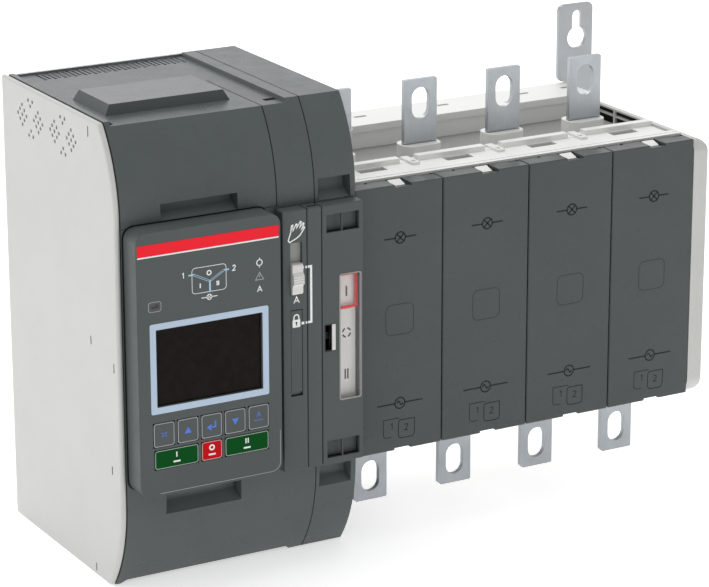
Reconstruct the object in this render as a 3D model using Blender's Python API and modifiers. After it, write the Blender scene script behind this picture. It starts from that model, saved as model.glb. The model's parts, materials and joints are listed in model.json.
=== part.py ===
"""Four-pole automatic transfer switch, built as an assembly of separate pieces.

The drawing is in millimetres. X runs to the right along the row of poles and starts at the
left edge of the first pole cover. Y runs to the back and starts at the front of the pole
covers. Z runs up and starts at the bottom of the mechanism housing. ORIGIN is the point of
the drawing that becomes the object's own origin, on the rear mounting plane.
"""
import math

import bmesh
import bpy
from mathutils import Matrix, Vector

MM = 0.001
ORIGIN = (57.0, 162.0, 150.0)
GAP = 0.3                       # clearance between neighbouring pieces
REACH = 5.0                     # how far a cutter runs past the wall it cuts

# mechanism housing
PANEL_LEFT = -168.1             # outer face of the left side panel
HOUSING_LEFT = -164.0
COVER_RIGHT = -57.5             # right edge of the control terminal cover
STEP_X = -37.5                  # the top steps up from the low level to the high one here
SEAM_X = -31.3                  # main housing meets the right housing
HOUSING_RIGHT = -2.0
HOUSING_TOP = 300.0
LOW_DROP = 2.5                  # low level of the top, below the high one
HOUSING_BACK = 158.7
BACK_PLANE = 162.0
FRONT_Y = -4.3                  # flat front face of the housing
FLAT_TOP_Z = 240.8
FLAT_BOTTOM_Z = 59.2
CURVE_END_Y = 16.2              # where the curved front meets the top and the bottom
WALL = 2.5
COVER_BACK = 89.0
COVER_BOTTOM = 237.5

# control panel
PANEL_X = (-163.0, -64.5)
PANEL_Z = (69.5, 238.8)
PANEL_FRONT = -22.0
PANEL_BACK = -4.6
WINDOW_X = (-154.8, -73.5)
WINDOW_Z = (123.0, 181.0)
KEY_FRONT = -22.3
KEY_BACK = -18.6

# selector, filler and indicator modules on the housing front
MODULE_FRONT = -15.0
MODULE_Z = (65.5, 236.5)
SELECTOR_X = (-59.5, -42.3)
FILLER_X = (-42.0, -31.9)
INDICATOR_X = (-31.6, -2.3)
SLOT_X = (-54.2, -45.8)
SELECTOR_SLOT_Z = (181.5, 215.8)
CLIP_SLOT_Z = (115.3, 172.2)
SCALE_X = (-19.6, -3.8)
SCALE_Z = (107.2, 190.6)

# poles
PITCH = 65.0
POLES = 4
BAR_WIDTH = 25.0
BAR_THICK = 3.6
BAR_OFFSET = 31.7               # centre of a pole's bars, from the pole's left edge
BAR_SLOT = (13.4, 21.4)
BLOCK_Z = (60.0, 238.0)
FRONT_UNIT_Y = (9.8, 60.0)
REAR_UNIT_Y = (105.0, 158.7)
REAR_WALL_Y = 124.0             # front of the upper part of the rear unit
REAR_TOP = 243.7
REAR_LIP = (122.8, 239.0)        # front and underside of the rear unit's top plate
COVER_LIP = 15.2                # how far the pole covers reach back over the front unit
CATCH_Z = 148.75                # mid-height of the pole covers, between their two catches
TRENCH_FLOOR = 227.4            # floor between the two units, around the load bars
LOAD_Y = 82.5
LOAD_TOP = 281.6
COLLAR_TOP = 238.0
KEYHOLE = (15.4, 7.6)           # width of a screw foot's head hole and of its neck
PAD_STEP = 0.2                  # terminal pads stand this proud of the rest of the bar
SOURCE_TWO_Y = 35.8
SOURCE_ONE_Y = 129.0
SOURCE_BOTTOM = 13.2
CONTACT_REACH = 22.0
AXIS_Z = 150.0
FRONT_ROLL_Y = 35.0
REAR_ROLL_Y = 131.5
STRAP_Z = 172.5

# drive
SHAFT_X = -27.0
SHAFT_GEAR = 20.0
IDLER_GEAR = 22.0
PINION = 9.0
GEAR_Y = (52.0, 58.0)

COLOURS = {
    "dark_plastic": ((0.082, 0.094, 0.097), 0.55, 0.0),
    "light_plastic": ((0.72, 0.72, 0.70), 0.5, 0.0),
    "white_plastic": ((0.81, 0.81, 0.79), 0.45, 0.0),
    "grey_plastic": ((0.47, 0.48, 0.46), 0.5, 0.0),
    "tinned_copper": ((0.31, 0.33, 0.36), 0.35, 1.0),
    "steel": ((0.45, 0.46, 0.47), 0.4, 1.0),
    "red": ((0.78, 0.02, 0.035), 0.4, 0.0),
    "green": ((0.003, 0.08, 0.011), 0.4, 0.0),
    "glass_black": ((0.005, 0.004, 0.004), 0.15, 0.0),
    "clear": ((0.75, 0.77, 0.77), 0.1, 0.0),
    "board_green": ((0.02, 0.12, 0.05), 0.5, 0.0),
    "rubber": ((0.12, 0.12, 0.13), 0.7, 0.0),
    "black_plastic": ((0.02, 0.02, 0.022), 0.5, 0.0),
}


def clear_scene():
    for item in list(bpy.data.objects):
        bpy.data.objects.remove(item, do_unlink=True)


def make_collection(name):
    collection = bpy.data.collections.new(name)
    bpy.context.scene.collection.children.link(collection)
    return collection


def make_material(name):
    colour, roughness, metallic = COLOURS[name]
    material = bpy.data.materials.new(name)
    material.use_nodes = True
    shader = material.node_tree.nodes["Principled BSDF"]
    shader.inputs["Base Color"].default_value = (*colour, 1.0)
    shader.inputs["Roughness"].default_value = roughness
    shader.inputs["Metallic"].default_value = metallic
    return material


clear_scene()
PARTS = make_collection("automatic_transfer_switch")
CUTTERS = make_collection("cutters")
MATERIALS = {name: make_material(name) for name in COLOURS}


def place(x, y, z):
    """A point of the drawing, in the object's own frame and in metres."""
    return Vector(((x - ORIGIN[0]) * MM, (y - ORIGIN[1]) * MM, (z - ORIGIN[2]) * MM))


def new_object(name, mesh, material=None):
    item = bpy.data.objects.new(name, mesh)
    if material is None:
        CUTTERS.objects.link(item)
        item.hide_render = True
        item.display_type = "WIRE"
    else:
        PARTS.objects.link(item)
        mesh.materials.clear()
        mesh.materials.append(MATERIALS[material])
    return item


def box(name, low, high, material=None):
    """A box between two corners of the drawing, with its origin at its middle."""
    low_point = place(*low)
    high_point = place(*high)
    size = high_point - low_point
    mesh = bpy.data.meshes.new(name)
    work = bmesh.new()
    bmesh.ops.create_cube(work, size=1.0)
    bmesh.ops.scale(work, vec=size, verts=work.verts)
    work.to_mesh(mesh)
    work.free()
    item = new_object(name, mesh, material)
    item.location = (low_point + high_point) / 2
    return item


AXES = {
    "X": Matrix(((0, 0, 1), (1, 0, 0), (0, 1, 0))),
    "Y": Matrix(((1, 0, 0), (0, 0, -1), (0, 1, 0))),
    "Z": Matrix(((1, 0, 0), (0, 1, 0), (0, 0, 1))),
}


def turn_to(axis):
    return AXES[axis].to_4x4()


def hip_box(name, low, high, inset_x, inset_front, inset_back, material=None):
    """A box whose top face is drawn in on all four sides, like a hipped roof cut flat."""
    item = box(name, low, high, material)
    for vertex in item.data.vertices:
        if vertex.co.z > 0:
            vertex.co.x -= math.copysign(inset_x * MM, vertex.co.x)
            vertex.co.y += inset_front * MM if vertex.co.y < 0 else -inset_back * MM
    return item


def cylinder(name, centre, radius, length, axis, material=None, top_radius=None, sides=32):
    """A cylinder or cone along an axis of the drawing. Its middle is at centre."""
    mesh = bpy.data.meshes.new(name)
    work = bmesh.new()
    far_radius = radius if top_radius is None else top_radius
    bmesh.ops.create_cone(work, cap_ends=True, segments=sides, radius1=radius * MM,
                          radius2=far_radius * MM, depth=length * MM)
    turn = turn_to(axis)
    if axis == "Y":
        turn = Matrix.Rotation(math.radians(-90.0), 4, "X")
    work.transform(turn)
    work.to_mesh(mesh)
    work.free()
    item = new_object(name, mesh, material)
    item.location = place(*centre)
    return item


def slab(name, outlines, axis, start, end, material=None):
    """Flat outlines filled and extruded along an axis, from start to end of the drawing.

    The outlines are (Y, Z) for axis X, (X, Z) for axis Y and (X, Y) for axis Z. The first
    is the outer edge and the others are holes.
    """
    curve = bpy.data.curves.new(name + "_outline", "CURVE")
    curve.dimensions = "2D"
    curve.fill_mode = "BOTH"
    curve.extrude = (end - start) / 2 * MM
    for outline in outlines:
        spline = curve.splines.new("POLY")
        spline.points.add(len(outline) - 1)
        for point, (first, second) in zip(spline.points, outline):
            point.co = (first * MM, second * MM, 0.0, 1.0)
        spline.use_cyclic_u = True
    flat = bpy.data.objects.new(name + "_outline", curve)
    bpy.context.scene.collection.objects.link(flat)
    middle = (start + end) / 2
    corner = {"X": (middle, 0, 0), "Y": (0, middle, 0), "Z": (0, 0, middle)}[axis]
    flat.matrix_world = Matrix.Translation(place(*corner)) @ turn_to(axis)
    bpy.context.view_layer.update()
    graph = bpy.context.evaluated_depsgraph_get()
    mesh = bpy.data.meshes.new_from_object(flat.evaluated_get(graph))
    mesh.transform(flat.matrix_world)
    bpy.data.objects.remove(flat, do_unlink=True)
    work = bmesh.new()
    work.from_mesh(mesh)
    bmesh.ops.remove_doubles(work, verts=work.verts, dist=0.00001)
    bmesh.ops.recalc_face_normals(work, faces=work.faces)
    work.to_mesh(mesh)
    work.free()
    mesh.name = name
    item = new_object(name, mesh, material)
    corners = [Vector(corner) for corner in item.bound_box]
    centre = (corners[0] + corners[6]) / 2
    mesh.transform(Matrix.Translation(-centre))
    item.location = centre
    return item


def set_origin(item, x, y, z):
    """Move an object's origin to a point of the drawing and leave its shape where it is."""
    point = place(x, y, z)
    item.data.transform(Matrix.Translation(item.location - point))
    item.location = point


def combine(item, tool, operation):
    modifier = item.modifiers.new(operation.lower() + "_" + tool.name, "BOOLEAN")
    modifier.operation = operation
    modifier.object = tool
    modifier.solver = "EXACT"
    return item


def cut(item, *tools):
    for tool in tools:
        combine(item, tool, "DIFFERENCE")
    return item


def join(item, *tools):
    for tool in tools:
        combine(item, tool, "UNION")
    return item


def bevel(item, width, segments=2, angle=40.0):
    modifier = item.modifiers.new("edges", "BEVEL")
    modifier.width = width * MM
    modifier.segments = segments
    modifier.limit_method = "ANGLE"
    modifier.angle_limit = math.radians(angle)
    return item


def arc(centre_u, centre_v, radius, start, end, steps):
    points = []
    for index in range(steps + 1):
        angle = math.radians(start + (end - start) * index / steps)
        points.append((centre_u + radius * math.cos(angle), centre_v + radius * math.sin(angle)))
    return points


def rounded(u0, v0, u1, v1, radius, steps=4):
    """A rectangle with rounded corners, anticlockwise."""
    return (arc(u1 - radius, v0 + radius, radius, -90, 0, steps)
            + arc(u1 - radius, v1 - radius, radius, 0, 90, steps)
            + arc(u0 + radius, v1 - radius, radius, 90, 180, steps)
            + arc(u0 + radius, v0 + radius, radius, 180, 270, steps))


def obround(centre_u, low_v, high_v, width, steps=8):
    radius = width / 2
    return (arc(centre_u, low_v + radius, radius, 180, 360, steps)
            + arc(centre_u, high_v - radius, radius, 0, 180, steps))


def keyhole(centre_u, low_v, high_v, head, neck, steps=10):
    """A round head hole with a narrower slot above it."""
    radius = head / 2
    half = neck / 2
    centre_v = low_v + radius
    lean = math.degrees(math.asin(half / radius))
    top = arc(centre_u, high_v - half, half, 0, 180, 6)
    return arc(centre_u, centre_v, radius, 90 + lean, 450 - lean, steps * 2) + top


# ---- mechanism housing ----

def side_outline(inset, drop, back):
    """Side view of the housing in (Y, Z): curved at the front, straight at the back."""
    radius = ((CURVE_END_Y - FRONT_Y) ** 2 + (HOUSING_TOP - FLAT_TOP_Z) ** 2)
    radius = radius / (2 * (CURVE_END_Y - FRONT_Y))
    centre_y = FRONT_Y + radius
    inner = radius - inset
    top = HOUSING_TOP - drop - inset
    bottom = drop + inset
    top_angle = math.degrees(math.asin((top - FLAT_TOP_Z) / inner))
    upper = arc(centre_y, FLAT_TOP_Z, inner, 180 - top_angle, 180, 8)
    lower = arc(centre_y, FLAT_BOTTOM_Z, inner, 180, 180 + top_angle, 8)
    return [(back, bottom), (back, top)] + upper + lower


def ring_outline(outer, inner):
    """Section between two side views, open at the back."""
    return outer[1:] + outer[:1] + inner[:1] + list(reversed(inner[1:]))


def channel_outline(drop):
    """Section of the housing wall: the side view less the same view moved in by the wall."""
    return ring_outline(side_outline(0.0, drop, HOUSING_BACK),
                        side_outline(WALL, drop, HOUSING_BACK))


def left_side_panel():
    panel = slab("left_side_panel", [side_outline(0.0, 0.0, BACK_PLANE)], "X",
                 PANEL_LEFT, HOUSING_LEFT - GAP, "light_plastic")
    bevel(panel, 1.2, 2, 50)
    return panel


def left_rim(shell, left):
    """The low top rises to a rim along the left side panel."""
    back = HOUSING_BACK - 0.2
    rim = ring_outline(side_outline(0.3, -0.3, back), side_outline(WALL - 0.6, LOW_DROP, back))
    join(shell, slab("left_rim", [rim], "X", left, left + 3.4))
    low = HOUSING_TOP - LOW_DROP
    slope = [(left + 1.0, low - 1.5), (left + 7.0, low - 1.5), (left + 7.0, low - 0.05),
             (left + 3.4, HOUSING_TOP - 0.1), (left + 1.0, HOUSING_TOP - 0.1)]
    join(shell, slab("rim_slope", [slope], "Y", CURVE_END_Y + 2.0, HOUSING_BACK - 0.1))


def main_housing():
    shell = slab("main_housing", [channel_outline(LOW_DROP)], "X", HOUSING_LEFT,
                 STEP_X, "dark_plastic")
    high = slab("high_step", [channel_outline(0.0)], "X", STEP_X - 3.0, SEAM_X)
    join(shell, high)
    left_rim(shell, HOUSING_LEFT)
    cut(shell, box("cover_room", (HOUSING_LEFT - REACH, -30, COVER_BOTTOM),
                   (COVER_RIGHT, COVER_BACK, HOUSING_TOP + REACH)))
    cut(shell, box("panel_opening", (-150, -30, 90), (-78, 10, 225)))
    cut(shell, box("selector_opening", (SLOT_X[0] - 1.0, -30, 180), (SLOT_X[1] + 1.0, 10, 220)))
    cut(shell, box("clip_opening", (SLOT_X[0], -30, CLIP_SLOT_Z[0]),
                   (SLOT_X[1], 10, CLIP_SLOT_Z[1])))
    cut(shell, box("lower_recess_cut", (-139.5, -30, 47), (-82.5, FRONT_Y + 20, 72)))
    return shell


def lower_recess():
    """The finger recess below the control panel is a moulded cup of its own."""
    cup = box("lower_finger_cup", (-139.2, -3.4, 47.3), (-82.8, 12, 71.7),
              "dark_plastic")
    cut(cup, box("lower_cup_hollow", (-137.2, -30, 49.3), (-84.8, 10, 69.7)))
    return cup


def control_terminal_cover():
    cover = slab("control_terminal_cover", [channel_outline(LOW_DROP)], "X",
                 HOUSING_LEFT + 0.1, COVER_RIGHT - GAP, "dark_plastic")
    left_rim(cover, HOUSING_LEFT + 0.1)
    combine(cover, box("cover_limit", (HOUSING_LEFT - REACH, -30, COVER_BOTTOM + GAP),
                       (COVER_RIGHT + REACH, COVER_BACK - GAP, HOUSING_TOP + REACH)), "INTERSECT")
    join(cover, hip_box("raised_top", (-153.2, 37.8, 296.5), (-67.0, 86.0, 304.0), 4.2, 2.4, 2.0))
    cut(cover, box("raised_hollow", (-147, 42.5, 275), (-73, 81.5, 301.5)))
    pocket = box("upper_recess_block", (-139.2, -3.6, COVER_BOTTOM + GAP), (-82.6, 10, 252.2))
    join(cover, pocket)
    cut(cover, box("upper_recess_hollow", (-137.2, -30, 225), (-84.6, 7.5, 250)))
    return cover


def right_housing():
    shell = slab("right_housing", [channel_outline(0.0)], "X", SEAM_X + GAP,
                 HOUSING_RIGHT, "dark_plastic")
    wall = slab("right_wall", [side_outline(1.0, 0.0, HOUSING_BACK)], "X",
                HOUSING_RIGHT - WALL, HOUSING_RIGHT)
    join(shell, wall)
    for centre_y in (FRONT_ROLL_Y, REAR_ROLL_Y):
        cut(shell, cylinder("roll_hole", (HOUSING_RIGHT, centre_y, AXIS_Z), 7.5, 20, "X"))
    cut(shell, box("indicator_opening", (-29.5, -30, 95), (-6, 10, 205)))
    cut(shell, box("socket_opening", (-31.5, -30, 144), (-22, 10, 156)))
    for name, low, high in (("upper", 236.9, 251.0), ("lower", 46.8, 60.5)):
        join(shell, box(name + "_side_cup", (-30.0, -2.4, low - 1.8), (-4.0, 9.0, high + 1.8)))
        cut(shell, box(name + "_side_recess", (-28.5, -30, low), (-5.5, 7.0, high)))
    return shell


def back_plate():
    outline = [rounded(-163.7, 1.0, -2.3, 299.0, 3.0)]
    outline.append(keyhole(-118.0, 267.0, 294.3, *KEYHOLE))
    outline.append(keyhole(-118.0, 5.7, 33.0, *KEYHOLE))
    return slab("back_plate", outline, "Y", HOUSING_BACK + GAP, BACK_PLANE, "steel")


# ---- control panel ----

KEYS = (
    ("key_escape", -153.7, -139.4, 101.6, 117.1, "dark_plastic"),
    ("key_up", -137.4, -123.1, 101.6, 117.1, "dark_plastic"),
    ("key_enter", -121.1, -106.8, 101.6, 117.1, "dark_plastic"),
    ("key_down", -104.8, -90.4, 101.6, 117.1, "dark_plastic"),
    ("key_auto", -88.4, -74.1, 101.6, 117.1, "dark_plastic"),
    ("key_source_one_on", -153.2, -123.3, 87.1, 99.4, "green"),
    ("key_off", -121.1, -107.0, 87.1, 99.4, "red"),
    ("key_source_two_on", -104.8, -74.4, 87.1, 99.4, "green"),
)


def panel_housing():
    shell = slab("panel_housing", [rounded(PANEL_X[0], PANEL_Z[0], PANEL_X[1], PANEL_Z[1], 7.0)],
                 "Y", PANEL_FRONT, PANEL_BACK, "dark_plastic")
    bevel(shell, 1.5, 2, 50)
    hollow = slab("panel_hollow", [rounded(PANEL_X[0] + 2.0, PANEL_Z[0] + 2.0,
                                           PANEL_X[1] - 2.0, PANEL_Z[1] - 2.0, 5.0)],
                  "Y", PANEL_FRONT + 2.5, PANEL_BACK + REACH)
    cut(shell, hollow)
    cut(shell, box("window_hole", (WINDOW_X[0], PANEL_FRONT - REACH, WINDOW_Z[0]),
                   (WINDOW_X[1], PANEL_FRONT + REACH, WINDOW_Z[1])))
    cut(shell, box("strip_hole", (-162.0, PANEL_FRONT - REACH, 224.2),
                   (-65.8, PANEL_FRONT + 0.8, 231.4)))
    for name, left, right, low, high, _colour in KEYS:
        cut(shell, box(name + "_hole", (left - GAP, PANEL_FRONT - REACH, low - GAP),
                       (right + GAP, PANEL_FRONT + REACH, high + GAP)))
    return shell


def panel_red_strip():
    return box("panel_red_strip", (-161.7, PANEL_FRONT + 0.1, 224.5),
               (-66.1, PANEL_FRONT + 0.5, 231.1), "red")


def display_window():
    return box("display_window", (WINDOW_X[0] + GAP, PANEL_FRONT + 0.2, WINDOW_Z[0] + GAP),
               (WINDOW_X[1] - GAP, PANEL_FRONT + 2.2, WINDOW_Z[1] - GAP), "glass_black")


def display_module():
    module = box("display_module", (-158, -19.2, 120.5), (-70, -14.0, 183.5), "steel")
    cut(module, box("display_cell_hole", (-152, -25, 126), (-78, -18.2, 178)))
    return module


def keypad_mat():
    """Rubber mat with a low pad behind each key."""
    mat = box("keypad_mat", (-157, -16.5, 79), (-71, -14.8, 119.5), "rubber")
    for name, left, right, low, high, _colour in KEYS:
        middle_x = (left + right) / 2
        middle_z = (low + high) / 2
        join(mat, cylinder(name + "_pad", (middle_x, -16.6, middle_z), 4.0, 1.6, "Y", sides=12))
    return mat


def panel_circuit_board():
    board = box("panel_circuit_board", (-159.0, -13.2, 74.0), (-68.5, -11.6, 234.5), "board_green")
    join(board, box("panel_plug", (-125, -12.4, 190), (-95, -6.0, 204)))
    join(board, box("panel_processor", (-140, -12.4, 130), (-122, -10.2, 148)))
    join(board, box("panel_driver", (-104, -12.4, 134), (-92, -10.0, 146)))
    return board


def panel_keys():
    for name, left, right, low, high, colour in KEYS:
        key = box(name, (left, KEY_FRONT, low), (right, KEY_BACK, high), colour)
        bevel(key, 0.5, 1)


# ---- selector, filler and indicator modules ----

def module_body(name, left, right, hollow_front):
    body = box(name, (left, MODULE_FRONT, MODULE_Z[0]), (right, PANEL_BACK, MODULE_Z[1]),
               "dark_plastic")
    bevel(body, 1.0, 2)
    cut(body, box(name + "_hollow", (left + 2.0, hollow_front, MODULE_Z[0] + 2.0),
                  (right - 2.0, PANEL_BACK + REACH, MODULE_Z[1] - 2.0)))
    return body


def selector_module():
    body = module_body("selector_module", *SELECTOR_X, MODULE_FRONT + 2.2)
    cut(body, box("selector_slot", (SLOT_X[0], -30, SELECTOR_SLOT_Z[0]),
                  (SLOT_X[1], 0, SELECTOR_SLOT_Z[1])))
    cut(body, box("clip_slot", (SLOT_X[0], -30, CLIP_SLOT_Z[0]),
                  (SLOT_X[1], 0, CLIP_SLOT_Z[1])))
    return body


def mode_selector():
    """Thumb slide with a shuttle plate that closes the slot behind it."""
    knob = box("mode_selector", (SLOT_X[0] + GAP, -19.0, 182.0), (SLOT_X[1] - GAP, -11.5, 202.4),
               "white_plastic")
    bevel(knob, 1.2, 2)
    join(knob, box("selector_shuttle", (-56.2, -12.4, 173.0), (-44.6, -10.4, 217.5)))
    return knob


def lock_clip():
    """Pull-out clip with an eye for a padlock."""
    clip = box("lock_clip", (SLOT_X[0] + GAP, MODULE_FRONT + 0.2, CLIP_SLOT_Z[0] + 0.5),
               (SLOT_X[1] - GAP, 9.0, CLIP_SLOT_Z[1] - 0.5), "dark_plastic")
    cut(clip, cylinder("padlock_eye", (-50, -8.8, 161), 4.2, 30, "X"))
    cut(clip, box("clip_thumb_notch", (-60, -20, 112), (-40, -13.4, 117.8)))
    return clip


def filler_strip():
    strip = module_body("filler_strip", *FILLER_X, MODULE_FRONT + 2.2)
    cut(strip, box("filler_top_slot", (-40.5, -12, 230), (-33.5, -9.5, 250)))
    return strip


def indicator_module():
    body = module_body("indicator_module", *INDICATOR_X, MODULE_FRONT + 2.2)
    cut(body, box("scale_window_hole", (SCALE_X[0], -30, SCALE_Z[0]), (SCALE_X[1], 0, SCALE_Z[1])))
    cut(body, box("socket_hole", (-30.4, -30, 140.8), (-22.2, 0, 159.2)))
    for name, low, high in (("upper", 218.7, 230.4), ("lower", 69.6, 81.3)):
        for side, left, right in (("a", -28.6, -17.8), ("b", -17.2, -5.2)):
            cut(body, box(name + "_grip_" + side, (left, -30, low), (right, -7.0, high)))
    return body


def indicator_window():
    pane = box("indicator_window", (SCALE_X[0] + GAP, -14.9, SCALE_Z[0] + GAP),
               (SCALE_X[1] - GAP, -13.4, SCALE_Z[1] - GAP), "clear")
    bevel(pane, 0.4, 1)
    return pane


def indicator_scale():
    return box("indicator_scale", (-23.2, -9.2, 105.0), (-4.7, -7.8, 193.0), "grey_plastic")


def position_marker():
    frame = box("position_marker", (-19.0, -12.2, 166.4), (-4.8, -11.0, 190.0), "red")
    cut(frame, box("marker_hole", (-17.2, -20, 168.2), (-6.6, 0, 188.2)))
    return frame


# ---- drive ----

def operating_shaft():
    """Square-ended shaft with the gear that the motor turns and two bevel gears."""
    shaft = cylinder("operating_shaft", (SHAFT_X, 60.0, AXIS_Z), 4.0, 128.0, "Y", "steel",
                     sides=24)
    set_origin(shaft, SHAFT_X, 0.0, AXIS_Z)
    join(shaft, box("shaft_square", (SHAFT_X - 2.3, -10.5, AXIS_Z - 2.3),
                    (SHAFT_X + 2.3, 6.0, AXIS_Z + 2.3)))
    middle = (GEAR_Y[0] + GEAR_Y[1]) / 2
    join(shaft, cylinder("shaft_gear", (SHAFT_X, middle, AXIS_Z), SHAFT_GEAR - 0.4,
                         GEAR_Y[1] - GEAR_Y[0], "Y", sides=40))
    join(shaft, cylinder("front_bevel", (SHAFT_X, FRONT_ROLL_Y + 10.0, AXIS_Z), 5.4, 8.0, "Y",
                         top_radius=13.4))
    join(shaft, cylinder("rear_bevel", (SHAFT_X, REAR_ROLL_Y - 10.0, AXIS_Z), 13.4, 8.0, "Y",
                         top_radius=5.4))
    return shaft


def idler_gear():
    centre_x = SHAFT_X - SHAFT_GEAR - IDLER_GEAR
    middle = (GEAR_Y[0] + GEAR_Y[1]) / 2
    gear = cylinder("idler_gear", (centre_x, middle, AXIS_Z), IDLER_GEAR - 0.4,
                    GEAR_Y[1] - GEAR_Y[0], "Y", "white_plastic", sides=40)
    join(gear, cylinder("idler_pin", (centre_x, 57.0, AXIS_Z), 4.0, 16.0, "Y", sides=20))
    return gear


def motor_pinion():
    centre_x = SHAFT_X - SHAFT_GEAR - 2 * IDLER_GEAR - PINION
    middle = (GEAR_Y[0] + GEAR_Y[1]) / 2
    gear = cylinder("motor_pinion", (centre_x, middle, AXIS_Z), PINION - 0.4,
                    GEAR_Y[1] - GEAR_Y[0], "Y", "steel", sides=24)
    join(gear, cylinder("motor_shaft", (centre_x, 59.0, AXIS_Z), 2.5, 20.0, "Y", sides=16))
    return gear


def drive_motor():
    centre_x = SHAFT_X - SHAFT_GEAR - 2 * IDLER_GEAR - PINION
    motor = cylinder("drive_motor", (centre_x, 98.0, AXIS_Z), 24.0, 70.4, "Y", "steel", sides=40)
    bevel(motor, 1.5, 2)
    join(motor, cylinder("motor_end", (centre_x, 135.0, AXIS_Z), 8.0, 8.0, "Y", sides=20))
    cut(motor, cylinder("motor_bore", (centre_x, 63.0, AXIS_Z), 3.0, 16.0, "Y", sides=16))
    return motor


def drive_frame():
    """Bearing plate with an upper and a lower flange that reach the back plate."""
    outline = [(60.0, 98.0), (158.4, 98.0), (158.4, 100.5), (62.5, 100.5), (62.5, 199.5),
               (158.4, 199.5), (158.4, 202.0), (60.0, 202.0)]
    frame = slab("drive_frame", [outline], "X", -130.0, -7.0, "steel")
    idler_x = SHAFT_X - SHAFT_GEAR - IDLER_GEAR
    pinion_x = idler_x - IDLER_GEAR - PINION
    for name, centre_x, radius in (("shaft", SHAFT_X, 4.4), ("idler", idler_x, 4.4),
                                   ("pinion", pinion_x, 3.2)):
        cut(frame, cylinder(name + "_bearing", (centre_x, 61.0, AXIS_Z), radius, 20, "Y",
                            sides=20))
    return frame


# ---- electronics ----

def control_board():
    board = box("control_board", (-152.0, 24, 30), (-150.4, 150, 262), "board_green")
    for name, low, high in (("relay_a", (-151.2, 110, 220), (-136, 140, 236)),
                            ("relay_b", (-151.2, 110, 240), (-136, 140, 256)),
                            ("processor", (-151.2, 60, 150), (-148.6, 82, 172)),
                            ("connector", (-151.2, 40, 60), (-142, 52, 110)),
                            ("coil", (-151.2, 100, 50), (-134, 124, 80))):
        join(board, box("control_" + name, low, high))
    for index in range(3):
        join(board, cylinder("control_capacitor", (-142.6, 70, 190 + 22 * index), 8.0, 17.0, "X",
                             sides=20))
    return board


def power_supply_board():
    board = box("power_supply_board", (-132, 30, 214), (-42, 150, 215.6), "board_green")
    join(board, box("transformer", (-120, 96, 214.8), (-82, 138, 250)))
    join(board, box("heat_sink", (-60, 60, 214.8), (-54, 130, 240)))
    for index in range(2):
        join(board, cylinder("supply_capacitor", (-110 + 26 * index, 66, 232), 10.0, 34.0, "Z",
                             sides=24))
    return board


def control_terminal_strip():
    strip = box("control_terminal_strip", (-150, 34, 262), (-70, 62, 282), "black_plastic")
    join(strip, box("terminal_foot", (-150, 56, 255), (-70, 70, 264)))
    for index in range(10):
        left = -148.4 + 8.0 * index
        cut(strip, box("terminal_entry", (left, 20, 265), (left + 4.8, 50, 277)))
    return strip


# ---- switch units and terminals ----

def pole_left(index):
    return PITCH * index


def unit_housing(name, depth, top, roll_y, bar_y, strap_side):
    """One moulded switch unit with a chamber for each pole."""
    front, back = depth
    body = box(name, (GAP, front, BLOCK_Z[0]), (PITCH * POLES - GAP, back, top), "white_plastic")
    for index in range(POLES):
        left = pole_left(index)
        bar_x = left + BAR_OFFSET
        half = BAR_WIDTH / 2 + 0.4
        cut(body, box(name + "_chamber", (left + 3.0, front + 2.5, BLOCK_Z[0] + 4.0),
                      (left + PITCH - 3.0, back - 2.5, top - 6.0)))
        cut(body, box(name + "_bar_slot", (bar_x - half, bar_y - 0.4, BLOCK_Z[0] - REACH),
                      (bar_x + half, bar_y + BAR_THICK + 0.4, BLOCK_Z[0] + 10)))
        cut(body, box(name + "_strap_slot", (bar_x - half, strap_side - 6, STRAP_Z - 0.4),
                      (bar_x + half, strap_side + 6, STRAP_Z + BAR_THICK + 0.4)))
    cut(body, cylinder(name + "_roll_bore", (124.5, roll_y, AXIS_Z), 10.6, 261.0, "X"))
    return body


def front_switch_housing():
    body = unit_housing("front_switch_housing", FRONT_UNIT_Y, BLOCK_Z[1] - 2.0, FRONT_ROLL_Y,
                        SOURCE_TWO_Y, FRONT_UNIT_Y[1])
    width = PITCH * POLES - GAP
    for name, low, high in (("upper", 235.7, 250.0), ("lower", 50.0, 61.8)):
        cut(body, box(name + "_lip_room", (-REACH, 5, low), (270, COVER_LIP + GAP, high)))
    join(body, box("front_rail", (GAP, COVER_LIP + GAP, 233), (width, 24.0, 239.0)))
    join(body, box("rear_rail", (GAP, 50.0, 233), (width, 56.0, 239.5)))
    for index in range(POLES):
        left = pole_left(index)
        cut(body, box("shelf_pocket", (left + 28.0, 41.0, 232.5), (left + 48.0, 49.0, 250)))
        upper = [(5.6, 233.6), (13.0, 233.6), (13.0, 237.9), (12.0, 237.9), (5.6, 235.9)]
        lower = [(y, 2 * CATCH_Z - z) for y, z in upper]
        join(body, slab("upper_catch", [upper], "X", left + 30.8, left + 40.0))
        join(body, slab("lower_catch", [lower], "X", left + 30.8, left + 40.0))
    return body


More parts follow.
